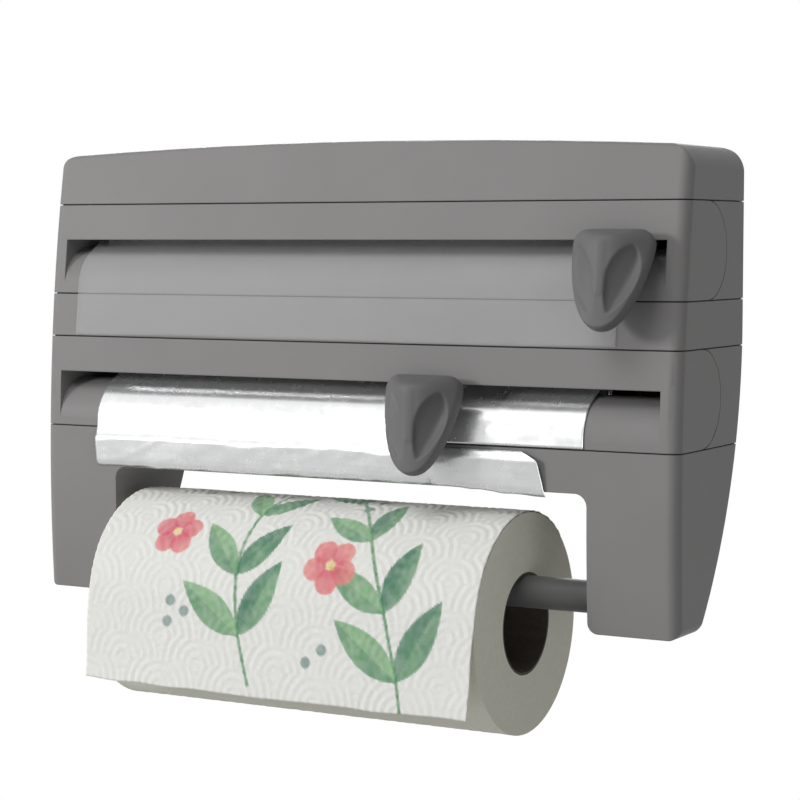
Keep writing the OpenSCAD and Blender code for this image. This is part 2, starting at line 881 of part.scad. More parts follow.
// Spindle-shaped space of a thumb hollow
module thumb_hollow(side) {
    r = (hollow_len * hollow_len + hollow_w * hollow_w) / (2 * hollow_w);
    rim_x = shield_half(0.5);
    rim_y = knob_back_y(0) - knob_rim / cos(knob_tilt);
    ridge_y = -knob_gap - knob_reach;
    slope = atan2(rim_y - ridge_y, rim_x - knob_ridge_w / 2);
    lift = hollow_w - hollow_depth;
    x = (rim_x + knob_ridge_w / 2) / 2 + lift * sin(slope);
    y = (rim_y + ridge_y) / 2 - lift * cos(slope);
    translate([side * x, y, 0]) rotate([-hollow_pitch, side * hollow_turn, 0])
        rotate_extrude($fn = FINE) intersection() {
            translate([hollow_w - r, 0]) circle(r = r, $fn = FINE * 4);
            translate([0, -hollow_len]) square([hollow_w, 2 * hollow_len]);
        }
}

// Blade, level with the seam under the front
module cutter_blade_form(i) {
    y = front_y(front_lo[i]) - blade_tip_gap;
    translate([cutter_x[i], y, front_lo[i] - blade_t / 2]) linear_extrude(blade_t)
        polygon([[0, 0], [-blade_w / 2, -blade_w / 2], [-blade_w / 2, -blade_w / 2 - blade_hold],
            [blade_w / 2, -blade_w / 2 - blade_hold], [blade_w / 2, -blade_w / 2]]);
}

// Shield-shaped grip with a tilted back, an upright front ridge and a thumb hollow on each side
module cutter_knob(i) {
    color(knob_grey) place() difference() {
        on_front(i) {
            difference() {
                hull() {
                    translate([0, -knob_gap, knob_stem_z]) rotate([90 - knob_tilt, 0, 0])
                        translate([0, -knob_stem_z, 0]) linear_extrude(knob_rim) shield();
                    translate([0, ridge_t - knob_gap - knob_reach, 0]) rotate([90, 0, 0])
                        linear_extrude(ridge_t) ridge();
                }
                for (side = [-1, 1]) thumb_hollow(side);
            }
            blade_rib(i);
        }
        cutter_stem(i);
        cutter_blade_form(i);
    }
}

module film_knob() {
    cutter_knob(FILM);
}

module foil_knob() {
    cutter_knob(FOIL);
}

module film_blade() {
    color("silver") place() cutter_blade_form(FILM);
}

module foil_blade() {
    color("silver") place() cutter_blade_form(FOIL);
}

// Core and winding of the film and foil rolls
module roll_core(i) {
    color("#b08d5b") place() difference() {
        rod_at([tray_y[i], roll_z[i]], core_r + core_t, roll_x0[i], roll_x0[i] + roll_w[i]);
        rod_at([tray_y[i], roll_z[i]], core_r, -body_w, body_w);
    }
}

module roll_wound(i, colour) {
    color(colour) place() difference() {
        rod_at([tray_y[i], roll_z[i]], roll_r, roll_x0[i], roll_x0[i] + roll_w[i], FINE * 2);
        rod_at([tray_y[i], roll_z[i]], core_r + core_t, -body_w, body_w);
    }
}

module film_core() {
    roll_core(FILM);
}

module film_wound() {
    roll_wound(FILM, "#dfe3e3");
}

module foil_core() {
    roll_core(FOIL);
}

module foil_wound() {
    roll_wound(FOIL, "#d0d2d4");
}

// A thin layer over a round form, between two directions seen from its axis
module round_layer(axis, r, from, to, reach) {
    intersection() {
        difference() {
            translate(axis) circle(r = r + sheet_t, $fn = LARGE);
            translate(axis) circle(r = r, $fn = LARGE);
        }
        polygon([axis, axis + reach * from, axis + reach * (from + to), axis + reach * to]);
    }
}

// A sheet: straight from the roll, round the shoulder and down the front to a height
module sheet(i, x0, x1, end_z) {
    n = [cos(sheet_turn[i]), sin(sheet_turn[i])];
    low = [-cos(shoulder_lean[i]), sin(shoulder_lean[i])];
    up = [low[1], -low[0]];
    axis = [shoulder_y[i], shoulder_z[i]];
    front_axis = [front_axis_y, front_reach_z];
    layer_r = front_r + rest_gap + sheet_step;
    from = [tray_y[i], roll_z[i]] + (sheet_in_r + sheet_step) * n;
    ahead = axis + (sheet_out_r + sheet_step) * n - from;
    to = from + ahead * (1 + sheet_lap / norm(ahead));
    along_x(x0, x1) polygon([from, to, to + sheet_t * n, from + sheet_t * n]);
    along_x(x0, x1) round_layer(axis, sheet_out_r, n, low, 2 * shoulder_r);
    along_x(x0, x1) intersection() {
        difference() {
            translate(front_axis) circle(r = layer_r + sheet_t, $fn = 2 * HUGE);
            translate(front_axis) circle(r = layer_r, $fn = 2 * HUGE);
        }
        translate(sheet_lap * up) polygon([axis, axis + 2 * shoulder_r * low, [-far, end_z] - sheet_lap * up,
            [axis[0], end_z] - sheet_lap * up]);
    }
}

module film_sheet() {
    color("#b8bcbc", 0.5) place() sheet(FILM, film_x0, film_x0 + film_w, strip_z + film_end);
}

// Front view of the foil: whole left of the cutter, cut along the seam right of it, with the cut-off
// piece still hanging
module foil_outline() {
    end_z = bar_z + foil_end;
    cut_z = foil_z + seam;
    flap_z = foil_z - foil_cut_gap;
    polygon([
        [-body_w, end_z],
        [-body_w, top_z],
        [body_w, top_z],
        [body_w, cut_z],
        [foil_cutter_x, cut_z],
        [foil_cutter_x, flap_z],
        [foil_cutter_x + foil_flap_w * 0.8, flap_z],
        [foil_cutter_x + foil_flap_w * 0.95, foil_z - foil_flap_drop],
        [foil_cutter_x + foil_flap_w, end_z - foil_flap_sag],
        [foil_cutter_x, end_z]
    ]);
}

module foil_sheet() {
    color("#d0d2d4") place() intersection() {
        sheet(FOIL, foil_x0, foil_x0 + foil_w, bar_z + foil_end - foil_flap_sag);
        along_y(-far, far) foil_outline();
    }
}

// Right part of the rod: sleeve with a blind bore and an end pin
module rod_sleeve() {
    color(rod_grey) place() difference() {
        union() {
            rod_at(rod_axis, rod_r, sleeve_x, rod_half);
            rod_at(rod_axis, pin_r, rod_half - eps, arm_x + pin_len - rod_end_gap);
        }
        rod_at(rod_axis, plunger_r + run_gap, sleeve_x - 1, plunger_x + spring_len + 2 * eps);
    }
}

// Left part of the rod: plunger that slides in the sleeve
module rod_plunger() {
    color(rod_grey) place() {
        rod_at(rod_axis, plunger_r, -rod_half, plunger_x);
        rod_at(rod_axis, pin_r, -arm_x - pin_len + rod_end_gap, -rod_half + eps);
    }
}

// A round tube along a list of points, with a ring of corners at each
function ring_points(path, k, r, sides) = let (
    ahead = path[min(k + 1, len(path) - 1)] - path[max(k - 1, 0)],
    t = ahead / norm(ahead),
    u = cross(t, [0, 0.6, 0.8]) / norm(cross(t, [0, 0.6, 0.8])),
    v = cross(t, u)
) [for (a = [0 : sides - 1]) path[k] + r * (cos(360 * a / sides) * u + sin(360 * a / sides) * v)];

module tube(path, r, sides) {
    rings = len(path);
    points = [for (k = [0 : rings - 1]) each ring_points(path, k, r, sides)];
    walls = [for (k = [0 : rings - 2], a = [0 : sides - 1]) let (
        p = k * sides + a,
        q = k * sides + (a + 1) % sides
    ) each [[p, q, q + sides], [p, q + sides, p + sides]]];
    ends = [for (a = [1 : sides - 2]) each [
        [0, a + 1, a],
        [(rings - 1) * sides, (rings - 1) * sides + a, (rings - 1) * sides + a + 1]
    ]];
    polyhedron(points = points, faces = concat(walls, ends));
}

// Spring that pushes the plunger out
module rod_spring() {
    steps = spring_turns * 8;
    length = spring_len - 2 * spring_wire_r - 4 * eps;
    coil = [for (k = [0 : steps]) [
        plunger_x + spring_wire_r + 2 * eps + length * k / steps,
        spring_coil_r * cos(45 * k) - rod_y,
        spring_coil_r * sin(45 * k) + rod_z
    ]];
    color("silver") place() tube(coil, spring_wire_r, 6);
}

module paper_core() {
    axis = [-rod_y, paper_z];
    color("#b08d5b") place() difference() {
        rod_at(axis, paper_core_r + paper_core_t, paper_x0, paper_x0 + paper_w, FINE * 2);
        rod_at(axis, paper_core_r, -body_w, body_w, FINE * 2);
    }
}

module paper_wound() {
    axis = [-rod_y, paper_z];
    color("#f2f1ea") place() difference() {
        rod_at(axis, paper_r, paper_x0, paper_x0 + paper_w, FINE * 2);
        rod_at(axis, paper_core_r + paper_core_t, -body_w, body_w, FINE * 2);
    }
}

// Free end of the paper: over the top of the roll, then straight down in front
module paper_sheet() {
    axis = [-rod_y, paper_z];
    r = paper_r + rest_gap;
    n = [cos(paper_leave), sin(paper_leave)];
    start = [cos(paper_wrap), sin(paper_wrap)];
    down = [-sin(paper_lean), -cos(paper_lean)];
    from = axis + (r + sheet_step) * n - sheet_lap * down;
    drop = (paper_tail + sheet_lap) * down;
    color("#f2f1ea") place() {
        along_x(paper_x0, paper_x0 + paper_w) round_layer(axis, r, start, n, 2 * r);
        along_x(paper_x0, paper_x0 + paper_w)
            polygon([from, from + sheet_t * n, from + sheet_t * n + drop, from + drop]);
    }
}

back_plate();
top_cover();
upper_shell();
middle_rail();
lower_shell();
arm_frame();
case_screws();
film_front();
film_tray();
film_cutter_rail();
film_sheet();
film_knob();
film_carriage();
film_blade();
film_core();
film_wound();
foil_front();
foil_tray();
foil_cutter_rail();
foil_sheet();
foil_knob();
foil_carriage();
foil_blade();
foil_core();
foil_wound();
rod_sleeve();
rod_spring();
rod_plunger();
paper_core();
paper_wound();
paper_sheet();
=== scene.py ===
"""Looks of a wall-mounted holder for cling film, foil and kitchen paper."""
import json
import math

import bpy
import numpy as np
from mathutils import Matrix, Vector


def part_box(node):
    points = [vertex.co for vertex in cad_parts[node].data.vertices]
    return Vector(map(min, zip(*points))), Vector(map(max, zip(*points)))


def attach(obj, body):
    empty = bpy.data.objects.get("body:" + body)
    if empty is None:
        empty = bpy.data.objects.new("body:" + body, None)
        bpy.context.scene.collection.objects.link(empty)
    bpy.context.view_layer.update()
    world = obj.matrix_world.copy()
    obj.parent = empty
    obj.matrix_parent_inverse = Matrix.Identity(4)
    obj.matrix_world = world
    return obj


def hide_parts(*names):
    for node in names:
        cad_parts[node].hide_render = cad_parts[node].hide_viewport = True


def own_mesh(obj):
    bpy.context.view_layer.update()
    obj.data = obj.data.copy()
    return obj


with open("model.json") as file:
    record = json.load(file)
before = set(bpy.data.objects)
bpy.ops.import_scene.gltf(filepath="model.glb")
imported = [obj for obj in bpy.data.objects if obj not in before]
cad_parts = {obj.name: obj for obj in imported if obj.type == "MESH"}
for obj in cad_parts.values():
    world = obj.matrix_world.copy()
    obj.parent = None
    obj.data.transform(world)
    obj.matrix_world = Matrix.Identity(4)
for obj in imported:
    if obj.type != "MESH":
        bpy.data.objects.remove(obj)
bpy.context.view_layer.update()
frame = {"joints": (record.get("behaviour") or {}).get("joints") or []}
joints = {joint["name"]: joint for joint in frame["joints"]}

# Housing: sizes in metres, heights counted from the wall screws
FRONT_R = 1.0
FRONT_AXIS = (0.917, -0.123)
LIP_H = 0.0194
SLOT_GAP = 0.0042
SHOULDER_R = 0.022
SEAM = 0.0006
CROSSBAR_LOW_Z = -0.119
CROSSBAR_HIGH_Z = -0.0975

# Seam strips, near-black as painted shade in the seams: the height of each seam, and the piece at whose back
# its strip ends
SEAMS = (
    (0.0245, "upper_shell"),
    (-0.0245, "upper_shell"),
    (-0.048, "lower_shell"),
    (CROSSBAR_HIGH_Z, "arm_frame"),
)
SHADE_STRIP_INSET = 0.0004
SHADE_STRIP_W = 0.0026
SHADE_STRIP_H = 0.0004
SHADE_STRIP_CORNER_R = 0.009
SHADE_STRIP_REAR_GAP = 0.0008

# Sheets: how they lie, how far apart their points are, and how strong their relief is
REST_GAP = 0.0003
FILM_T = 0.00008
FILM_STEP = 0.0016
FILM_COLUMNS = 130
FILM_FREE = 0.055
FILM_FREE_LEN = 0.045
FILM_LIFT = 0.00025
FILM_CREASES = 0.00012
FILM_SIDE_WAVE = 0.0006
FILM_END_WAVE = 0.0004
FOIL_T = 0.00006
FOIL_STEP = 0.0012
FOIL_LEFT_COLUMNS = 168
FOIL_RIGHT_COLUMNS = 69
FOIL_FLAP_COLUMNS = 60
FOIL_JOIN = 0.00005
FOIL_CUT_Z = CROSSBAR_HIGH_Z + SEAM
FOIL_END_GAP = 0.0005
FOIL_FREE = 0.045
FOIL_LIFT = 0.0002
FOIL_CREASE = 0.006
FOIL_CREASE_WAVE = 0.0010
FOIL_BULGE = 0.0024
FOIL_BULGE_WAVE = 0.0002
FOIL_CRINKLES = 0.00022
FOIL_FINE_CRINKLES = 0.00008
FOIL_SLANT_CRINKLES = 0.00020
FOIL_STREAKS = 0.00005
FOIL_RAGGED = 0.0005
FOIL_RAGGED_LEN = 0.004
FOIL_CURL = 0.0004
FOIL_CURL_LEN = 0.0025
FOIL_FLAP_W = 0.065
FOIL_FLAP_SAG = 0.003
PAPER_T = 0.0002
PAPER_STEP = 0.001
PAPER_COLUMNS = 233
PAPER_WRAP = 45
PAPER_LEAVE = 173
PAPER_TAIL = 0.046
PAPER_TAIL_START = 0.006
PAPER_LIFT = 0.00010
PAPER_EMBOSS = 0.00060
PAPER_FLUFF = 0.00011
PAPER_TWIST = 0.0055
PAPER_SWAY = 0.0016
PAPER_END_WAVE = 0.0006
PAPER_SIDE_WAVE = 0.0004

# Embossing of the paper: radius of its fans, height of a row and distance of the rings
FAN_R = 0.024
FAN_ROW_H = FAN_R * 0.55
RING_STEP = 0.0045

# Inks of the print, and the softness of its edges
LEAF_LIGHT = np.array([0.26, 0.50, 0.24])
LEAF_DARK = np.array([0.035, 0.19, 0.10])
BERRY = np.array([0.20, 0.30, 0.27])
PETAL_LIGHT = np.array([0.84, 0.30, 0.27])
PETAL_DARK = np.array([0.66, 0.07, 0.15])
STAMEN = np.array([0.85, 0.66, 0.25])
FINE_EDGE = 0.0006
INK_EDGE = 0.0007
PETAL_EDGE = 0.0008
BERRY_R = 0.0034
STEM_R = 0.0013
STEM_STEPS = 24

# Wound rolls: points around and along them, and layers that show at their ends
ROLL_SIDES = 180
ROLL_LAYERS = 26
ROLL_STEP = 0.003
ROLL_SHARP = math.radians(35)

# Grips of the cutters
KNOB_GAP = 0.0026
KNOB_H = 0.052
KNOB_W = 0.042
KNOB_TILT = math.radians(18)
KNOB_CORNER_R = 0.007
KNOB_REACH = 0.021
KNOB_RIM = 0.007
KNOB_RIDGE_W = 0.007
KNOB_RIDGE_H = 0.029
KNOB_RIDGE_DROP = 0.0035
KNOB_CROWN = 0.0006
KNOB_LIFT = 0.003
KNOB_STEM_DROP = 0.0015
KNOB_STEM_Z = KNOB_H / 2 - KNOB_LIFT - KNOB_STEM_DROP
KNOB_RIB_W = 0.012
KNOB_RIB_DROP = 0.0022
KNOB_RIB_REACH = 0.004
KNOB_SOFTENING = 12
FLANK_SOFT = 0.9
FLANK_ROWS = 56
HOLLOW_TOP = (0.0142, 0.0190)
HOLLOW_FOOT = (0.0052, -0.0140)
HOLLOW_HALF_W = 0.0070
HOLLOW_DEPTH = 0.0050
HOLLOW_LEFT_SHARE = 0.3
HOLLOW_INWARD = 0.46
HOLLOW_BACKWARD = 0.89

# Rounded edges of a grip's plate: how far in, at which depth
KNOB_EDGE = (
    (0.0012, 0),
    (0.0004, 0.0002),
    (0, 0.0009),
    (0, 0.003),
    (0, KNOB_RIM - 0.0016),
    (0.0002, KNOB_RIM - 0.0006),
)

# Points on half of a grip's outline: lower tip, side, upper corner and top
TIP_POINTS = 18
SIDE_POINTS = 50
CORNER_POINTS = 14
TOP_POINTS = 12
TIP_SHARE = 0.28

# Spring of the rod
SPRING_TURNS = 12
SPRING_WIRE_R = 0.0006
SPRING_STEPS = 24
SPRING_SIDES = 10

# Studio and camera
WHITE = (1, 1, 1, 1)
AMBIENT = 0.17
FLOOR_PLACE = (-0.7, -1.65, -0.45)
FLOOR_R = 1.95
FLOOR_SIDES = 96
FLOOR_TONE = 0.45
FLOOR_WHITE = 0.25
PART_MIDDLE = (0, -0.05, -0.07)
LENS = 103.72
CAMERA_PLACE = (0.6145, -1.1026, 0.00595)
CAMERA_DOWN = 4.015
CAMERA_TURN = 29.513


# Helpers for shapes

def front_y(z, inset=0.0):
    """Y of the front face, or of a face set in behind it, at a height."""
    return FRONT_AXIS[0] - math.sqrt((FRONT_R - inset) ** 2 - (z - FRONT_AXIS[1]) ** 2)


def smooth_noise(u, v, size, seed):
    """Smooth noise from -1 to 1 over two coordinates, with cells of the given size."""
    rng = np.random.default_rng(seed)
    a = np.asarray(u) / size
    b = np.asarray(v) / size
    a0 = np.floor(a.min())
    b0 = np.floor(b.min())
    i = np.floor(a - a0).astype(int)
    j = np.floor(b - b0).astype(int)
    values = rng.uniform(-1, 1, (i.max() + 2, j.max() + 2))
    s = a - a0 - i
    t = b - b0 - j
    s = s * s * (3 - 2 * s)
    t = t * t * (3 - 2 * t)
    low = values[i, j] * (1 - s) + values[i + 1, j] * s
    high = values[i, j + 1] * (1 - s) + values[i + 1, j + 1] * s
    return low * (1 - t) + high * t


def creases(u, v, size, seed):
    """Sharp folds between smooth facets, from 0 to 1."""
    return 1 - np.abs(smooth_noise(u, v, size, seed))


def mesh_object(name, points, faces, smooth=True):
    mesh = bpy.data.meshes.new(name)
    mesh.from_pydata([tuple(p) for p in points], [], [tuple(int(k) for k in f) for f in faces])
    mesh.update()
    if smooth:
        mesh.polygons.foreach_set("use_smooth", [True] * len(mesh.polygons))
    piece = bpy.data.objects.new(name, mesh)
    bpy.context.scene.collection.objects.link(piece)
    return piece


def grid_faces(rows, columns, closed=False, first=0):
    """Quads of a grid of points numbered row by row, with its columns closed to a ring if asked."""
    faces = []
    for r in range(rows - 1):
        for c in range(columns if closed else columns - 1):
            d = (c + 1) % columns
            faces.append((first + r * columns + c, first + r * columns + d,
                          first + (r + 1) * columns + d, first + (r + 1) * columns + c))
    return faces


def thicken(piece, thickness):
    """Gives a sheet its thickness, half on each side."""
    solid = piece.modifiers.new("thickness", "SOLIDIFY")
    solid.thickness = thickness
    solid.offset = 0


def along(path, step):
    """Resamples a polyline (Y, Z) evenly and returns points, unit normals and distances."""
    path = np.array(path)
    reach = np.concatenate([[0], np.cumsum(np.linalg.norm(np.diff(path, axis=0), axis=1))])
    count = max(2, int(round(reach[-1] / step)) + 1)
    s = np.linspace(0, reach[-1], count)
    points = np.stack([np.interp(s, reach, path[:, k]) for k in (0, 1)], axis=1)
    run = np.gradient(points, axis=0)
    run /= np.linalg.norm(run, axis=1)[:, None]
    normals = np.stack([run[:, 1], -run[:, 0]], axis=1)
    return points, normals, s


def arc(centre, r, start, end, count):
    """Points (Y, Z) on a circle from one angle to another, in degrees."""
    angles = np.radians(np.linspace(start, end, count))
    return [(centre[0] + r * math.cos(a), centre[1] + r * math.sin(a)) for a in angles]


def slot_height(front_node):
    """Z of the upper edge of a front's slot."""
    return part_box(front_node)[1].z + SEAM / 2 - LIP_H


def shoulder_axis(front_node):
    """Y and Z of the axis of the rounded shoulder below a front's slot."""
    z = slot_height(front_node) - SLOT_GAP - SHOULDER_R
    return (front_y(z, SHOULDER_R), z)


def roll_axis(joint):
    """Y and Z of the axis that a roll or the rod turns about."""
    position = joints[joint]["pos_m"]
    return (position[1], position[2])


def sheet_path(front_node, spin, roll_node, end_z):
    """Side view of a sheet: from its roll, over the shoulder and down the front."""
    roll = np.array(roll_axis(spin))
    low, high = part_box(roll_node)
    roll_r = (high.z - low.z) / 2 + REST_GAP
    out_r = SHOULDER_R + REST_GAP
    shoulder = np.array(shoulder_axis(front_node))
    gap = shoulder - roll
    swing = math.acos((roll_r - out_r) / np.linalg.norm(gap))
    turn = math.degrees(math.atan2(gap[1], gap[0]) - swing) % 360
    lean = math.degrees(math.asin((shoulder[1] - FRONT_AXIS[1]) / (FRONT_R - SHOULDER_R)))
    start = arc(roll, roll_r, turn, turn, 1)
    over = arc(shoulder, out_r, turn, 180 - lean, 40)
    end_lean = math.degrees(math.asin((end_z - FRONT_AXIS[1]) / FRONT_R))
    down = arc(FRONT_AXIS, FRONT_R + REST_GAP, 180 - lean, 180 - end_lean, 40)
    return start + over + down[1:]


# Film over the upper shoulder

def build_film():
    low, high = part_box("film_sheet")
    path = sheet_path("film_front", "film_roll_spin", "film_wound", low.z)
    points, normals, s = along(path, FILM_STEP)
    x = np.linspace(low.x, high.x, FILM_COLUMNS)
    xx, ss = np.meshgrid(x, s, indexing="ij")
    free = np.clip((ss - FILM_FREE) / FILM_FREE_LEN, 0, 1)
    lift = FILM_LIFT + FILM_LIFT * free * (1 + smooth_noise(xx, ss, 0.03, 3))
    lift += FILM_CREASES * free * creases(xx + 0.3 * ss, ss, 0.009, 4)
    side = FILM_SIDE_WAVE * smooth_noise(xx * 0, ss, 0.03, 5)
    y = points[None, :, 0] + lift * normals[None, :, 0]
    z = points[None, :, 1] + lift * normals[None, :, 1]
    z = z + FILM_END_WAVE * (ss / s[-1]) ** 8 * smooth_noise(xx, ss * 0, 0.05, 6)
    grid = np.stack([xx + side, y, z], axis=2).reshape(-1, 3)
    film = mesh_object("film_free_end", grid, grid_faces(len(x), len(s)))
    thicken(film, FILM_T)
    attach(film, "film_cassette")
    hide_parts("film_sheet")


# Foil over the lower shoulder, cut along the seam right of the cutter

def foil_lift(x, s, total, cut_s):
    """How far the foil stands off what it lies on: most at a crease below the cut."""
    crease = cut_s + FOIL_CREASE + FOIL_CREASE_WAVE * smooth_noise(x, s * 0, 0.028, 17)
    rise = np.clip((s - FOIL_FREE) / (crease - FOIL_FREE), 0, 1)
    fall = np.clip((total - s) / (total - crease), 0, 1)
    height = FOIL_BULGE + FOIL_BULGE_WAVE * smooth_noise(x, s, 0.05, 11)
    bulge = np.where(s < crease, rise ** 7, fall ** 0.9) * height
    low = np.clip((s - cut_s) / (total - cut_s), 0, 1)
    fine = FOIL_CRINKLES * creases(x, s * 1.6, 0.022, 12)
    fine = fine + FOIL_FINE_CRINKLES * creases(x * 1.3, s, 0.009, 13)
    near_cut = np.clip((s - cut_s + 0.006) / 0.008, 0, 1)
    slant = FOIL_SLANT_CRINKLES * creases(x + 2.2 * s, s * 0.6, 0.013, 16) * near_cut
    streaks = FOIL_STREAKS * smooth_noise(x * 0.25, s, 0.0022, 14)
    return FOIL_LIFT + bulge + (0.25 + 0.75 * low) * (fine + streaks) + slant * (1 - 0.6 * low)


def build_foil():
    low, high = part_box("foil_sheet")
    cutter_x = sum(corner.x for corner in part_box("foil_blade")) / 2
    path = sheet_path("foil_front", "foil_roll_spin", "foil_wound", CROSSBAR_LOW_Z + FOIL_END_GAP)
    points, normals, s = along(path, FOIL_STEP)
    total = s[-1]
    cut = int(np.argmin(np.abs(points[:, 1] - FOIL_CUT_Z) + (s < 0.05)))
    flap = cut + 2
    left = np.linspace(low.x, cutter_x, FOIL_LEFT_COLUMNS)
    right = np.linspace(cutter_x, high.x, FOIL_RIGHT_COLUMNS)

    def place(xx, k, drop):
        """Points of the foil at places across it and steps along it, lowered by a drop."""
        ss = np.broadcast_to(s[k][None, :], xx.shape)
        lift = foil_lift(xx, ss, total, s[cut])
        y = points[k, 0][None, :] + lift * normals[k, 0][None, :]
        z = points[k, 1][None, :] + lift * normals[k, 1][None, :] - drop
        near_end = np.clip((ss - total + FOIL_RAGGED_LEN) / FOIL_RAGGED_LEN, 0, 1)
        ragged = FOIL_RAGGED * near_end * smooth_noise(xx, ss * 0, 0.006, 15)
        curl = FOIL_CURL * np.clip((ss - total + FOIL_CURL_LEN) / FOIL_CURL_LEN, 0, 1)
        return np.stack([xx, y + curl, z + ragged], axis=2).reshape(-1, 3)

    whole = np.arange(len(s))
    upper = np.arange(cut + 1)
    lower = np.arange(flap, len(s))
    left_x = np.broadcast_to(left[:, None], (len(left), len(whole)))
    right_x = np.broadcast_to(right[:, None], (len(right), len(upper)))
    share = np.linspace(0, 1, FOIL_FLAP_COLUMNS)[:, None]
    fall = np.linspace(0, 1, len(lower))[None, :]
    edge = np.interp(fall, [0, 0.2, 1], [0.8, 0.94, 1.0]) * FOIL_FLAP_W
    flap_x = cutter_x + share * edge
    parts = [
        (place(left_x, whole, 0 * left_x), len(left), len(whole)),
        (place(right_x, upper, 0 * right_x), len(right), len(upper)),
        (place(flap_x, lower, FOIL_FLAP_SAG * share * fall), len(share), len(lower)),
    ]
    grid = []
    faces = []
    first = 0
    for part, rows, columns in parts:
        grid.append(part)
        faces += grid_faces(rows, columns, first=first)
        first += len(part)
    foil = mesh_object("foil_free_end", np.concatenate(grid), faces)
    weld = foil.modifiers.new("join", "WELD")
    weld.merge_threshold = FOIL_JOIN
    thicken(foil, FOIL_T)
    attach(foil, "foil_cassette")
    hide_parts("foil_sheet")


# Kitchen paper: embossed free end with a printed pattern, and the wound roll

def emboss(u, v):
    """Overlapping fans of concentric rings, from 0 to 1."""
    found = np.zeros(np.shape(u), bool)
    reach = np.zeros(np.shape(u))
    row = np.floor(v / FAN_ROW_H)
    for back in range(4):
        level = row - back
        shift = np.where(level % 2 == 0, 0.0, FAN_R)
        centre = np.round((u - shift) / (2 * FAN_R)) * 2 * FAN_R + shift
        distance = np.hypot(u - centre, v - level * FAN_ROW_H)
        take = (distance < FAN_R) & ~found
        reach = np.where(take, distance, reach)
        found = found | take
    rings = 0.5 + 0.5 * np.cos(2 * math.pi * reach / RING_STEP)
    return np.where(found, rings, 0.5)


class Print:
    """Ink on the paper: a colour and an amount at every point of the sheet."""

    def __init__(self, u, v):
        self.u = u
        self.v = v
        self.colour = np.ones(u.shape + (3,))
        self.amount = np.zeros(u.shape)
        self.grain = 0.5 + 0.5 * smooth_noise(u, v, 0.0028, 41)
        self.wash = 0.5 + 0.5 * smooth_noise(u, v, 0.011, 42)

    def lay(self, cover, colour, strength):
        """Lays ink over what is there, with the paper's grain in it."""
        ink = np.clip(cover, 0, 1) * strength * (0.8 + 0.2 * self.grain)
        keep = np.clip(ink / np.maximum(ink + self.amount * (1 - ink), 1e-6), 0, 1)[..., None]
        self.colour = self.colour * (1 - keep) + colour * keep
        self.amount = ink + self.amount * (1 - ink)

    def away(self, centre):
        return np.hypot(self.u - centre[0], self.v - centre[1])

    def leaf(self, root, angle, length, width, dark):
        """A pointed oval leaf from its root, darker in one half and mottled."""
        a = (self.u - root[0]) * math.cos(angle) + (self.v - root[1]) * math.sin(angle)
        b = (self.v - root[1]) * math.cos(angle) - (self.u - root[0]) * math.sin(angle)
        t = np.clip(a / length, 0, 1)
        half = width * np.sin(math.pi * t ** 0.85) ** 0.9
        inside = (half - np.abs(b)) / INK_EDGE
        inside = np.where((a > 0) & (a < length), inside, -1)
        shade = np.clip(dark + 0.35 * (b > 0) + 0.5 * (self.wash - 0.5), 0, 1)[..., None]
        self.lay(inside, LEAF_LIGHT * (1 - shade) + LEAF_DARK * shade, 0.95)

    def stem(self, points, width):
        for (u0, v0), (u1, v1) in zip(points[:-1], points[1:]):
            run = np.array([u1 - u0, v1 - v0])
            t = np.clip(((self.u - u0) * run[0] + (self.v - v0) * run[1]) / (run @ run), 0, 1)
            distance = np.hypot(self.u - u0 - t * run[0], self.v - v0 - t * run[1])
            self.lay((width - distance) / FINE_EDGE, LEAF_DARK * 0.6 + LEAF_LIGHT * 0.4, 0.9)

    def berry(self, centre, r):
        distance = self.away(centre)
        rim = np.clip(distance / r, 0, 1)[..., None] ** 3
        self.lay((r - distance) / INK_EDGE, BERRY * (1.15 - 0.45 * rim), 0.9)

    def blossom(self, centre, r, turn):
        """Five round petals about a yellow middle."""
        for k in range(5):
            angle = turn + 2 * math.pi * k / 5
            petal = (centre[0] + 0.56 * r * math.cos(angle), centre[1] + 0.56 * r * math.sin(angle))
            inner = np.clip(self.away(centre) / r, 0, 1)[..., None]
            tone = np.clip(inner * 0.9 + 0.5 * (self.wash[..., None] - 0.5), 0, 1)
            cover = (0.44 * r - self.away(petal)) / PETAL_EDGE
            self.lay(cover, PETAL_DARK * (1 - tone) + PETAL_LIGHT * tone, 0.95)
        self.lay((0.2 * r - self.away(centre)) / FINE_EDGE, STAMEN, 0.8)


def twig(ink, start, angle, bend, length, pairs, leaf_len):
    """A bent stem with pairs of leaves that shorten towards its tip."""
    points = [np.array(start)]
    for k in range(1, STEM_STEPS + 1):
        turn = angle + bend * (k / STEM_STEPS)
        points.append(points[-1] + length / STEM_STEPS * np.array([math.cos(turn), math.sin(turn)]))
    ink.stem([tuple(p) for p in points], STEM_R)
    for k in range(pairs):
        t = (k + 0.7) / pairs
        root = points[int(t * (STEM_STEPS - 1))]
        turn = angle + bend * t
        size = leaf_len * (1 - 0.45 * t)
        for side in (-1, 1):
            ink.leaf(root, turn + side * (0.75 - 0.2 * t), size, size * 0.19, 0.25 + 0.4 * (side < 0))
    ink.leaf(points[-2], angle + bend, leaf_len * 0.6, leaf_len * 0.1, 0.4)


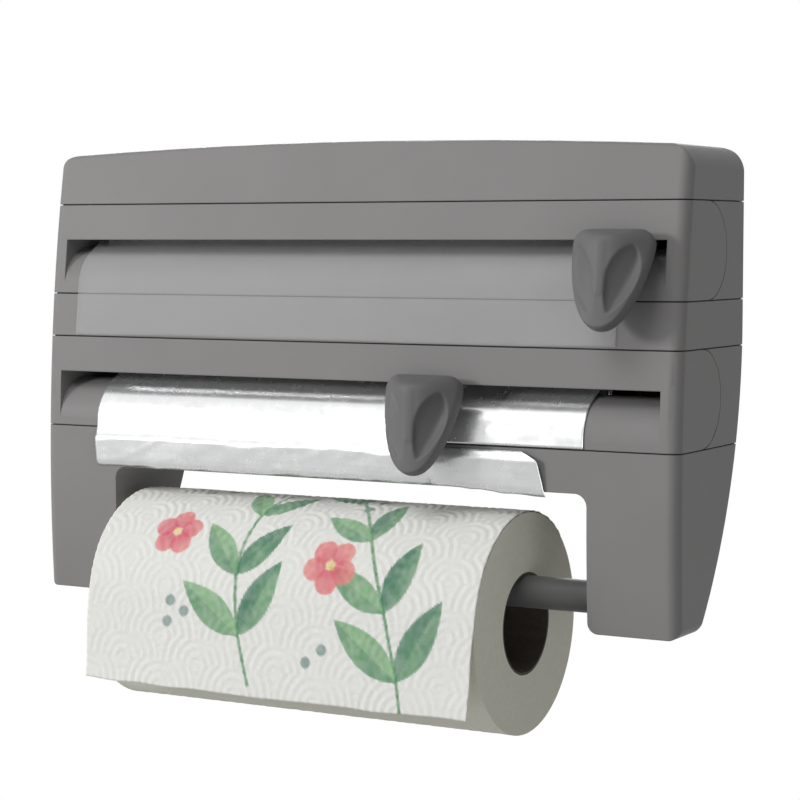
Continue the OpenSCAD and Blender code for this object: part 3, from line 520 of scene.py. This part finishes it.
def print_pattern(u, v):
    """A plain sprig, berry and blossom pattern over the sheet."""
    ink = Print(u, v)
    twig(ink, (0.104, 0.006), 1.95, -0.75, 0.150, 4, 0.050)
    twig(ink, (0.196, -0.012), 1.70, 0.55, 0.165, 4, 0.052)
    for centre in [(0.052, 0.034), (0.062, 0.040), (0.053, 0.045), (0.138, 0.020), (0.147, 0.027),
                   (0.150, 0.112), (0.141, 0.120), (0.153, 0.123), (0.046, 0.122), (0.056, 0.128)]:
        ink.berry(centre, BERRY_R)
    for centre, r, turn in [((0.047, 0.083), 0.0150, 0.3), ((0.146, 0.070), 0.0160, 0.9)]:
        ink.blossom(centre, r, turn)
    return ink.colour, ink.amount


def build_paper_sheet():
    low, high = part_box("paper_sheet")
    axis = roll_axis("paper_roll_spin")
    roll_low, roll_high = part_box("paper_wound")
    r = (roll_high.z - roll_low.z) / 2 + REST_GAP
    path = arc(axis, r, PAPER_WRAP, PAPER_LEAVE, 90)
    lean = math.radians(180 - PAPER_LEAVE)
    last = path[-1]
    path.append((last[0] - PAPER_TAIL * math.sin(lean), last[1] - PAPER_TAIL * math.cos(lean)))
    points, normals, s = along(path, PAPER_STEP)
    x = np.linspace(low.x, high.x, PAPER_COLUMNS)
    xx, ss = np.meshgrid(x, s, indexing="ij")
    u = xx - low.x
    v = s[-1] - ss
    tail = np.clip((PAPER_TAIL + PAPER_TAIL_START - v) / PAPER_TAIL, 0, 1)
    depth = PAPER_EMBOSS * (0.75 + 0.25 * smooth_noise(u, v, 0.03, 25))
    lift = PAPER_LIFT + depth * emboss(u, v) + PAPER_FLUFF * smooth_noise(u, v, 0.0017, 21)
    twist = PAPER_TWIST * tail ** 1.6 * (u / (high.x - low.x) - 0.45)
    sway = PAPER_SWAY * tail ** 2 * smooth_noise(u, v * 0.3, 0.07, 22)
    y = points[None, :, 0] + lift * normals[None, :, 0] - twist + sway
    z = points[None, :, 1] + lift * normals[None, :, 1]
    z = z + PAPER_END_WAVE * tail ** 6 * smooth_noise(u, v * 0, 0.018, 23)
    edge = PAPER_SIDE_WAVE * smooth_noise(xx * 0, ss, 0.02, 24)
    grid = np.stack([xx + edge, y, z], axis=2).reshape(-1, 3)
    sheet = mesh_object("paper_free_end", grid, grid_faces(len(x), len(s)))
    colour, amount = print_pattern(u, v)
    inks = np.concatenate([colour, amount[..., None]], axis=2).astype(np.float32)
    layer = sheet.data.color_attributes.new("print", "FLOAT_COLOR", "POINT")
    layer.data.foreach_set("color", inks.ravel())
    thicken(sheet, PAPER_T)
    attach(sheet, "housing")
    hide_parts("paper_sheet")


def build_roll(name, kind, relief, ends, seed):
    """A wound roll: relief on its outside, layers that show at its ends, and its bore."""
    low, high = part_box(kind + "_wound")
    core_low, core_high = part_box(kind + "_core")
    axis = roll_axis(kind + "_roll_spin")
    r_out = (high.z - low.z) / 2
    r_in = (core_high.z - core_low.z) / 2
    angles = np.linspace(0, 2 * math.pi, ROLL_SIDES, endpoint=False)
    rng = np.random.default_rng(seed)
    ring_r = np.linspace(r_in, r_out, ROLL_LAYERS)
    steps = ends * rng.uniform(-1, 1, ROLL_LAYERS)
    steps[-1] = 0
    rows = []
    for r, step in zip(ring_r, steps):
        rows.append((low.x - step, np.full(ROLL_SIDES, r)))
    length = high.x - low.x
    for x in np.linspace(0, length, max(3, int(length / ROLL_STEP)))[1:-1]:
        pattern = emboss(np.full(ROLL_SIDES, x), angles * r_out)
        rows.append((low.x + x, r_out - relief * (1 - pattern)))
    for r, step in zip(ring_r[::-1], steps[::-1]):
        rows.append((high.x + step, np.full(ROLL_SIDES, r)))
    points = []
    for x, radius in rows:
        y = axis[0] + radius * np.cos(angles)
        z = axis[1] + radius * np.sin(angles)
        points.append(np.stack([np.full(ROLL_SIDES, x), y, z], axis=1))
    faces = [f[::-1] for f in grid_faces(len(rows), ROLL_SIDES, closed=True)]
    last = (len(rows) - 1) * ROLL_SIDES
    for c in range(ROLL_SIDES):
        d = (c + 1) % ROLL_SIDES
        faces.append((c, d, last + d, last + c))
    roll = mesh_object(name, np.concatenate(points), faces)
    roll.data.set_sharp_from_angle(angle=ROLL_SHARP)
    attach(roll, kind + "_roll")
    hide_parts(kind + "_wound")


# Grips of the cutters

def shield_ring():
    """Outline of a grip in its tilted plane: lower end, bulging sides, upper corners and top."""
    corner = KNOB_H / 2 - KNOB_CORNER_R
    tip = 1 - TIP_SHARE * np.linspace(0, 1, TIP_POINTS) ** 2
    down = np.concatenate([tip, np.linspace(1 - TIP_SHARE, 0, SIDE_POINTS)[1:]])
    out = KNOB_W / 2 * (1 - down ** 1.5) ** 0.45
    side = np.stack([out, corner - down * (corner + KNOB_H / 2)], axis=1)
    turn = np.linspace(0, math.pi / 2, CORNER_POINTS)[1:]
    out = KNOB_W / 2 - KNOB_CORNER_R * (1 - np.cos(turn))
    bend = np.stack([out, corner + KNOB_CORNER_R * np.sin(turn)], axis=1)
    level = np.linspace(KNOB_W / 2 - KNOB_CORNER_R, 0, TOP_POINTS)[1:]
    top = np.stack([level, np.full(len(level), KNOB_H / 2)], axis=1)
    return mirrored(np.concatenate([side, bend, top]))


def ridge_ring():
    """Outline of the ridge's front, point by point opposite the shield's."""
    r = KNOB_RIDGE_W / 2
    top = KNOB_H / 2 - KNOB_RIDGE_DROP
    low = top - KNOB_RIDGE_H
    turn = np.linspace(-math.pi / 2, 0, TIP_POINTS)
    tip = np.stack([r * np.cos(turn), low + r + r * np.sin(turn)], axis=1)
    rise = np.linspace(low + r, top - r, SIDE_POINTS)[1:]
    side = np.stack([np.full(len(rise), r), rise], axis=1)
    turn = np.linspace(0, math.pi / 2, CORNER_POINTS + TOP_POINTS - 1)[1:]
    bend = np.stack([r * np.cos(turn), top - r + r * np.sin(turn)], axis=1)
    return mirrored(np.concatenate([tip, side, bend]))


def mirrored(half):
    """Closes the right half of an outline, from its lowest to its highest point, with the left half."""
    half[0, 0] = 0
    half[-1, 0] = 0
    return np.concatenate([half, half[::-1][1:-1] * np.array([-1, 1])])


def on_shield(ring, depth):
    """Puts an outline of the tilted plane in the grip's upright frame, at a depth in front of its back."""
    run = ring[:, 1] - KNOB_STEM_Z
    z = KNOB_STEM_Z + run * math.cos(KNOB_TILT) + depth * math.sin(KNOB_TILT)
    y = -KNOB_GAP + run * math.sin(KNOB_TILT) - depth * math.cos(KNOB_TILT)
    return np.stack([ring[:, 0], y, z], axis=1)


def thumb_hollow(points):
    """Presses the leaf-shaped thumb hollow into each flank of a grip, shallower on the left."""
    top = np.array(HOLLOW_TOP)
    run = np.array(HOLLOW_FOOT) - top
    length = np.linalg.norm(run)
    run = run / length
    side = np.abs(points[:, 0]) - top[0]
    rise = points[:, 2] - top[1]
    t = np.clip((side * run[0] + rise * run[1]) / length, 0, 1)
    half = HOLLOW_HALF_W * np.sin(math.pi * t ** 0.9) ** 0.7 + 1e-6
    across = np.clip((rise * run[0] - side * run[1]) / half, -1, 1)
    depth = HOLLOW_DEPTH * (1 - np.abs(across) ** 3) * (1 + 0.25 * across) * np.sin(math.pi * t) ** 0.5
    depth *= np.where(points[:, 0] < 0, HOLLOW_LEFT_SHARE, 1)
    moved = points.copy()
    moved[:, 0] -= np.sign(points[:, 0]) * HOLLOW_INWARD * depth
    moved[:, 1] += HOLLOW_BACKWARD * depth
    return moved


def knob_rows():
    """Rings of a grip from its back over its rim and flanks to the front of its ridge."""
    shield = shield_ring()
    ridge = ridge_ring()
    rows = []
    for inset, depth in KNOB_EDGE:
        rows.append(on_shield(shield * (1 - 2 * inset / KNOB_W), depth))
    rim = on_shield(shield, KNOB_RIM)
    front = np.stack([ridge[:, 0], np.full(len(ridge), -KNOB_GAP - KNOB_REACH), ridge[:, 1]], axis=1)
    for share in np.linspace(0.03, 0.99, FLANK_ROWS):
        flank = rim * (1 - share) + front * share
        flank[:, 1] += (front[:, 1] - rim[:, 1]) * (FLANK_SOFT * (math.sin(math.pi / 2 * share) - share))
        rows.append(thumb_hollow(flank))
    middle = ridge_ring()
    r = KNOB_RIDGE_W / 2
    middle[:, 0] = 0
    middle[:, 1] = np.clip(middle[:, 1], middle[:, 1].min() + r, middle[:, 1].max() - r)
    for share in (0.93, 0.75, 0.5, 0.2):
        outline = middle + (ridge - middle) * share
        crown = np.full(len(ridge), -KNOB_GAP - KNOB_REACH - KNOB_CROWN * (1 - share * share))
        rows.append(np.stack([outline[:, 0], crown, outline[:, 1]], axis=1))
    return rows


def rib_block(low_z):
    """Corners and faces of the rib behind a grip, which holds the blade."""
    high_z = KNOB_STEM_Z - KNOB_RIB_DROP
    corners = []
    for x in (-KNOB_RIB_W / 2, KNOB_RIB_W / 2):
        for z in (low_z, high_z):
            inside = -KNOB_GAP - (KNOB_STEM_Z - z) * math.tan(KNOB_TILT) - KNOB_RIM / 2
            corners += [(x, -KNOB_GAP, z), (x, inside, z)]
    faces = [(0, 1, 3, 2), (4, 6, 7, 5), (0, 2, 6, 4), (1, 5, 7, 3), (0, 4, 5, 1), (2, 3, 7, 6)]
    return np.array(corners), faces


def build_knob(kind):
    """The grip of a cutter, in line with its blade and leaning with the front."""
    low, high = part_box(kind + "_blade")
    z0 = slot_height(kind + "_front") + KNOB_LIFT - KNOB_H / 2
    rows = knob_rows()
    ring = len(rows[0])
    faces = grid_faces(len(rows), ring, closed=True)
    faces.append(tuple(range(ring))[::-1])
    faces.append(tuple(range((len(rows) - 1) * ring, len(rows) * ring)))
    corners, rib_faces = rib_block(low.z - z0 - KNOB_RIB_REACH)
    local = np.concatenate(rows + [corners])
    faces += [tuple(len(rows) * ring + k for k in f) for f in rib_faces]
    lean = math.asin((z0 - FRONT_AXIS[1]) / FRONT_R)
    x = (low.x + high.x) / 2 + local[:, 0]
    y = front_y(z0) + local[:, 1] * math.cos(lean) + local[:, 2] * math.sin(lean)
    z = z0 + local[:, 2] * math.cos(lean) - local[:, 1] * math.sin(lean)
    knob = mesh_object(kind + "_cutter_grip", np.stack([x, y, z], axis=1), faces)
    soften = knob.modifiers.new("soften", "SMOOTH")
    soften.factor = 0.5
    soften.iterations = KNOB_SOFTENING
    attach(knob, kind + "_cutter")
    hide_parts(kind + "_knob")


# Spring in the rod, pressed together by the plunger

def build_spring():
    low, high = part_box("rod_spring")
    axis = roll_axis("rod_spin")
    coil_r = (high.z - low.z) / 2 - SPRING_WIRE_R
    rings = SPRING_TURNS * SPRING_STEPS
    theta = np.linspace(0, 2 * math.pi * SPRING_TURNS, rings + 1)
    x = np.linspace(low.x + SPRING_WIRE_R, high.x - SPRING_WIRE_R, rings + 1)
    zero = np.zeros(rings + 1)
    outward = np.stack([zero, np.cos(theta), np.sin(theta)], axis=1)
    pitch = (x[-1] - x[0]) / theta[-1]
    run = np.stack([zero + pitch, -coil_r * np.sin(theta), coil_r * np.cos(theta)], axis=1)
    run /= np.linalg.norm(run, axis=1)[:, None]
    across = np.cross(run, outward)
    centre = np.stack([x, zero + axis[0], zero + axis[1]], axis=1) + coil_r * outward
    points = []
    for k in range(SPRING_SIDES):
        turn = 2 * math.pi * k / SPRING_SIDES
        points.append(centre + SPRING_WIRE_R * (math.cos(turn) * outward + math.sin(turn) * across))
    faces = grid_faces(rings + 1, SPRING_SIDES, closed=True)
    faces.append(tuple(range(SPRING_SIDES))[::-1])
    faces.append(tuple(range(rings * SPRING_SIDES, (rings + 1) * SPRING_SIDES)))
    spring = mesh_object("rod_spring_coil", np.stack(points, axis=1).reshape(-1, 3), faces)
    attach(spring, "rod")
    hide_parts("rod_spring")
    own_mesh(spring)


# Near-black strips in the seams, set in from the outside: painted shade for the depth of the seams

def build_seam_shade(name, z, rear):
    """A thin near-black strip in a seam, along the front and both sides, as painted shade."""
    half_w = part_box("top_cover")[1].x
    outline = []
    for set_in in (SHADE_STRIP_INSET, SHADE_STRIP_INSET + SHADE_STRIP_W):
        x = half_w - set_in
        r = SHADE_STRIP_CORNER_R - set_in
        front = front_y(z, set_in)
        line = [(-x, rear)]
        for t in np.linspace(0, math.pi / 2, 10):
            line.append((-x + r - r * math.cos(t), front + r - r * math.sin(t)))
        line += [(-px, py) for px, py in line[::-1]]
        outline.append(line)
    count = len(outline[0])
    points = []
    for level in (z - SHADE_STRIP_H / 2, z + SHADE_STRIP_H / 2):
        for line in outline:
            points += [(px, py, level) for px, py in line]
    faces = []
    for k in range(count - 1):
        for a, b in ((0, 1), (1, 3), (3, 2), (2, 0)):
            faces.append((a * count + k, b * count + k, b * count + k + 1, a * count + k + 1))
    faces += [(0, 2 * count, 3 * count, count), (count - 1, 2 * count - 1, 4 * count - 1, 3 * count - 1)]
    seam_shade_piece = mesh_object(name, points, faces, smooth=False)
    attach(seam_shade_piece, "housing")


# Materials

class Shader:
    """A node material with short calls for the nodes that are used here."""

    def __init__(self, name):
        self.material = bpy.data.materials.new(name)
        self.material.use_nodes = True
        self.tree = self.material.node_tree
        self.surface = self.tree.nodes["Principled BSDF"]
        self.place = self.tree.nodes.new("ShaderNodeTexCoord").outputs["Object"]

    def feed(self, socket, value):
        """Links another node's output to a socket, or sets a constant on it."""
        if isinstance(value, bpy.types.NodeSocket):
            self.tree.links.new(value, socket)
        else:
            socket.default_value = value

    def node(self, kind, inputs=None, **settings):
        made = self.tree.nodes.new(kind)
        for key, value in settings.items():
            setattr(made, key, value)
        for key, value in (inputs or {}).items():
            self.feed(made.inputs[key], value)
        return made

    def noise(self, scale, detail=2.0, roughness=0.5, stretch=(1, 1, 1)):
        mapped = self.node("ShaderNodeMapping", {"Vector": self.place, "Scale": stretch})
        made = self.node("ShaderNodeTexNoise", {"Vector": mapped.outputs["Vector"], "Scale": scale,
                                                "Detail": detail, "Roughness": roughness})
        return made.outputs["Fac"]

    def spread(self, value, low, high):
        """Stretches the middle of a noise to a range."""
        made = self.node("ShaderNodeMapRange", {"Value": value, "From Min": 0.3, "From Max": 0.7,
                                                "To Min": low, "To Max": high})
        return made.outputs["Result"]

    def mix(self, share, first, second):
        """A mix of two colours, through the colour sockets of the node."""
        made = self.node("ShaderNodeMix", data_type="RGBA")
        for index, value in {0: share, 6: first, 7: second}.items():
            self.feed(made.inputs[index], value)
        return made.outputs[2]

    def bump(self, height, strength, distance, edge=0.0):
        """Fine relief, over edges that are shaded round where a radius is given."""
        made = self.node("ShaderNodeBump", {"Height": height, "Strength": strength, "Distance": distance})
        if edge:
            rounded = self.node("ShaderNodeBevel", {"Radius": edge}, samples=6)
            self.tree.links.new(rounded.outputs["Normal"], made.inputs["Normal"])
        self.tree.links.new(made.outputs["Normal"], self.surface.inputs["Normal"])

    def set(self, **values):
        for key, value in values.items():
            self.feed(self.surface.inputs[key.replace("_", " ")], value)


def grey(value, warm=0.0):
    return (value * (1 + warm), value, value * (1 - warm * 0.3), 1)


def moulded_plastic(name, value, warm, rough, fine):
    """Satin moulded plastic with a fine grain and a trace of uneven colour."""
    shader = Shader(name)
    broad = shader.spread(shader.noise(14, 3), 0, 1)
    grain = shader.noise(fine, 2)
    shader.set(Base_Color=shader.mix(broad, grey(value * 0.965, warm), grey(value * 1.035, warm)),
               Roughness=shader.spread(grain, rough - 0.05, rough + 0.05), Specular_IOR_Level=0.18)
    shader.bump(grain, 0.12, 0.00008, 0.0009)
    return shader.material


def brushed_steel(name):
    shader = Shader(name)
    lines = shader.noise(900, 3, stretch=(0.04, 1, 1))
    shader.set(Base_Color=shader.mix(lines, (0.5, 0.5, 0.51, 1), (0.66, 0.66, 0.67, 1)), Metallic=1.0,
               Roughness=shader.spread(lines, 0.22, 0.36))
    shader.bump(lines, 0.08, 0.00005)
    return shader.material


def cardboard(name):
    """Board with fibres and the joint of its spiral winding, darkened far below real cardboard as painted
    shade for the dark bores.
    """
    shader = Shader(name)
    fibres = shader.noise(260, 6, 0.7, (0.35, 1, 1))
    flecks = shader.noise(1500, 2)
    spiral = shader.node("ShaderNodeTexWave", {"Vector": shader.place, "Scale": 7.0, "Distortion": 0.3},
                         wave_type="BANDS", bands_direction="DIAGONAL", wave_profile="SAW")
    # These tones are much darker than real board: painted shade inside the cores
    tone = shader.mix(shader.spread(fibres, 0, 1), (0.035, 0.03, 0.022, 1), (0.07, 0.06, 0.042, 1))
    tone = shader.mix(shader.spread(flecks, 0, 0.35), tone, (0.12, 0.10, 0.08, 1))
    joint = shader.node("ShaderNodeMapRange", {"Value": spiral.outputs["Fac"], "From Min": 0.96,
                                               "From Max": 1.0, "To Min": 0.0, "To Max": 0.5})
    shader.set(Base_Color=shader.mix(joint.outputs["Result"], tone, (0.16, 0.12, 0.08, 1)), Roughness=0.85)
    shader.bump(fibres, 0.3, 0.0002)
    return shader.material


def soft_paper(name, printed, white, blue):
    """Soft paper with fibres and fine dots, warmer with less blue, with ink on the printed sheet."""
    shader = Shader(name)
    fibres = shader.noise(420, 5, 0.65)
    dots = shader.node("ShaderNodeTexVoronoi", {"Vector": shader.place, "Scale": 620.0})
    light = (white, white, white * blue, 1)
    dark = (white * 0.93, white * 0.93, white * 0.93 * blue, 1)
    tone = shader.mix(shader.spread(fibres, 0, 1), dark, light)
    if printed:
        ink = shader.node("ShaderNodeAttribute", attribute_name="print")
        tone = shader.mix(ink.outputs["Alpha"], tone, ink.outputs["Color"])
    shader.set(Base_Color=tone, Roughness=0.92, Sheen_Weight=0.15)
    height = shader.node("ShaderNodeMath", {0: fibres, 1: dots.outputs["Distance"]}, operation="ADD")
    shader.bump(height.outputs["Value"], 0.25, 0.0002)
    return shader.material


def bright_foil(name):
    shader = Shader(name)
    streaks = shader.noise(700, 2, stretch=(0.02, 1, 1))
    fine = shader.noise(160, 4)
    shader.set(Base_Color=shader.mix(streaks, (0.78, 0.785, 0.79, 1), (0.87, 0.875, 0.88, 1)), Metallic=0.72,
               Roughness=shader.spread(fine, 0.20, 0.30))
    shader.bump(fine, 0.06, 0.0003)
    return shader.material


def clear_film(name, alpha):
    """Thin clear film with a milky cast and gloss, more see-through with less alpha."""
    shader = Shader(name)
    wrinkles = shader.noise(90, 3, stretch=(0.5, 1, 1))
    shader.set(Base_Color=shader.mix(wrinkles, (0.72, 0.73, 0.73, 1), (0.84, 0.85, 0.85, 1)),
               Roughness=shader.spread(wrinkles, 0.38, 0.5), Alpha=alpha, IOR=1.45, Specular_IOR_Level=0.2)
    shader.bump(wrinkles, 0.15, 0.0003)
    return shader.material


def dress(material, *names):
    for name in names:
        piece = bpy.data.objects[name]
        piece.data.materials.clear()
        piece.data.materials.append(material)


# Build the pieces

build_film()
build_foil()
build_paper_sheet()
build_roll("paper_roll_wound", "paper", 0.0003, 0.00010, 31)
build_roll("film_roll_wound", "film", 0.0, 0.0002, 32)
build_roll("foil_roll_wound", "foil", 0.0, 0.0002, 33)
seam_shades = ["seam_liner_%d" % (k + 1) for k in range(len(SEAMS))]
for seam_shade_name, (seam_z, rear_node) in zip(seam_shades, SEAMS):
    build_seam_shade(seam_shade_name, seam_z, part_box(rear_node)[1].y - SHADE_STRIP_REAR_GAP)
build_spring()
build_knob("film")
build_knob("foil")

# Dress the pieces

body_plastic = moulded_plastic("body_plastic", 0.235, 0.025, 0.5, 1400)
grip_plastic = moulded_plastic("grip_plastic", 0.148, 0.0, 0.5, 1600)
rod_plastic = moulded_plastic("rod_plastic", 0.17, 0.0, 0.5, 1600)
# Near-black plastic of the seam strips: painted shade in the seams
liner_plastic = moulded_plastic("liner_plastic", 0.015, 0.0, 0.6, 1600)
steel = brushed_steel("steel")
board = cardboard("cardboard")
foil_metal = bright_foil("foil")

dress(body_plastic, "back_plate", "top_cover", "upper_shell", "middle_rail", "lower_shell", "arm_frame",
      "film_front", "film_tray", "foil_front", "foil_tray")
dress(grip_plastic, "film_cutter_grip", "foil_cutter_grip", "film_carriage", "foil_carriage")
dress(rod_plastic, "rod_sleeve", "rod_plunger")
dress(liner_plastic, *seam_shades)
dress(steel, "case_screws", "film_cutter_rail", "foil_cutter_rail", "film_blade", "foil_blade",
      "rod_spring_coil")
dress(board, "film_core", "foil_core", "paper_core")
dress(soft_paper("printed_paper", True, 0.86, 0.955), "paper_free_end")
# The roll's paper is brighter than the printed sheet's: painted light that lifts its shaded ends
dress(soft_paper("plain_paper", False, 0.93, 0.86), "paper_roll_wound")
dress(foil_metal, "foil_free_end", "foil_roll_wound")
dress(clear_film("cling_film", 0.18), "film_free_end")
dress(clear_film("wound_film", 0.92), "film_roll_wound")


# Studio

def seen_directly(tree):
    """A value of 1 for rays that show a background: camera, glossy and transmission rays."""
    path = tree.nodes.new("ShaderNodeLightPath")
    total = path.outputs["Is Camera Ray"]
    for name in ("Is Glossy Ray", "Is Transmission Ray"):
        larger = tree.nodes.new("ShaderNodeMath")
        larger.operation = "MAXIMUM"
        tree.links.new(total, larger.inputs[0])
        tree.links.new(path.outputs[name], larger.inputs[1])
        total = larger.outputs["Value"]
    return total


def mix_shaders(tree, share, first, second):
    """A node that shows the second of two shaders by a share."""
    mixed = tree.nodes.new("ShaderNodeMixShader")
    tree.links.new(share, mixed.inputs[0])
    tree.links.new(first.outputs[0], mixed.inputs[1])
    tree.links.new(second.outputs[0], mixed.inputs[2])
    return mixed


def white_light(node, strength):
    """Sets a background or emission node to white of a strength."""
    node.inputs["Color"].default_value = WHITE
    node.inputs["Strength"].default_value = strength
    return node


def white_world():
    """A white background that lights the part with less than it shows."""
    world = bpy.data.worlds.new("studio")
    bpy.context.scene.world = world
    world.use_nodes = True
    tree = world.node_tree
    light = white_light(tree.nodes["Background"], AMBIENT)
    shown = white_light(tree.nodes.new("ShaderNodeBackground"), 1.0)
    mixed = mix_shaders(tree, seen_directly(tree), light, shown)
    tree.links.new(mixed.outputs[0], tree.nodes["World Output"].inputs["Surface"])


def pale_floor():
    """A round floor that catches the shadow, shows paler than it lights and fades at its rim."""
    ring = []
    for k in range(FLOOR_SIDES):
        turn = 2 * math.pi * k / FLOOR_SIDES
        ring.append((FLOOR_R * math.cos(turn), FLOOR_R * math.sin(turn), 0))
    floor = mesh_object("floor", ring, [tuple(range(FLOOR_SIDES))], smooth=False)
    floor.location = FLOOR_PLACE
    shader = Shader("pale_floor")
    shader.set(Base_Color=(FLOOR_TONE, FLOOR_TONE, FLOOR_TONE, 1), Roughness=0.9)
    tree = shader.tree
    distance = shader.node("ShaderNodeVectorMath", {0: shader.place}, operation="LENGTH").outputs["Value"]
    fade = shader.node("ShaderNodeMapRange", {"Value": distance, "From Min": 0.86 * FLOOR_R,
                                              "From Max": 0.98 * FLOOR_R, "To Min": 0.0, "To Max": 1.0},
                       interpolation_type="SMOOTHSTEP")
    white = white_light(tree.nodes.new("ShaderNodeEmission"), 1.0)
    share = shader.node("ShaderNodeMath", {0: seen_directly(tree), 1: FLOOR_WHITE}, operation="MULTIPLY")
    pale = mix_shaders(tree, share.outputs["Value"], shader.surface, white)
    clear = tree.nodes.new("ShaderNodeBsdfTransparent")
    mixed = mix_shaders(tree, fade.outputs["Result"], pale, clear)
    tree.links.new(mixed.outputs[0], tree.nodes["Material Output"].inputs["Surface"])
    floor.data.materials.append(shader.material)


def area_light(name, place, target, size, power):
    lamp = bpy.data.lights.new(name, "AREA")
    lamp.shape = "DISK"
    lamp.size = size
    lamp.energy = power
    lamp_object = bpy.data.objects.new(name, lamp)
    lamp_object.location = place
    lamp_object.rotation_euler = (Vector(target) - Vector(place)).to_track_quat("-Z", "Y").to_euler()
    bpy.context.scene.collection.objects.link(lamp_object)


white_world()
pale_floor()
area_light("key", (-2.1, -2.25, 0.62), PART_MIDDLE, 0.6, 38)
area_light("left", (-1.7, -1.3, 0.1), PART_MIDDLE, 1.2, 6)
area_light("top", (-0.2, -1.2, 1.3), (0, -0.05, -0.1), 1.0, 11)
area_light("right", (1.25, -0.9, -0.32), (0.1, -0.07, -0.18), 0.7, 2.4)
area_light("back", (-1.1, 2.0, 0.6), (0, 0, -0.07), 1.2, 22)

# Camera

camera_data = bpy.data.cameras.new("camera")
camera_data.lens = LENS
camera_data.sensor_width = 36
camera = bpy.data.objects.new("camera", camera_data)
camera.location = CAMERA_PLACE
camera.rotation_euler = (math.radians(90 - CAMERA_DOWN), 0, math.radians(CAMERA_TURN))
bpy.context.scene.collection.objects.link(camera)
bpy.context.scene.camera = camera
bpy.context.scene.view_settings.view_transform = "Standard"
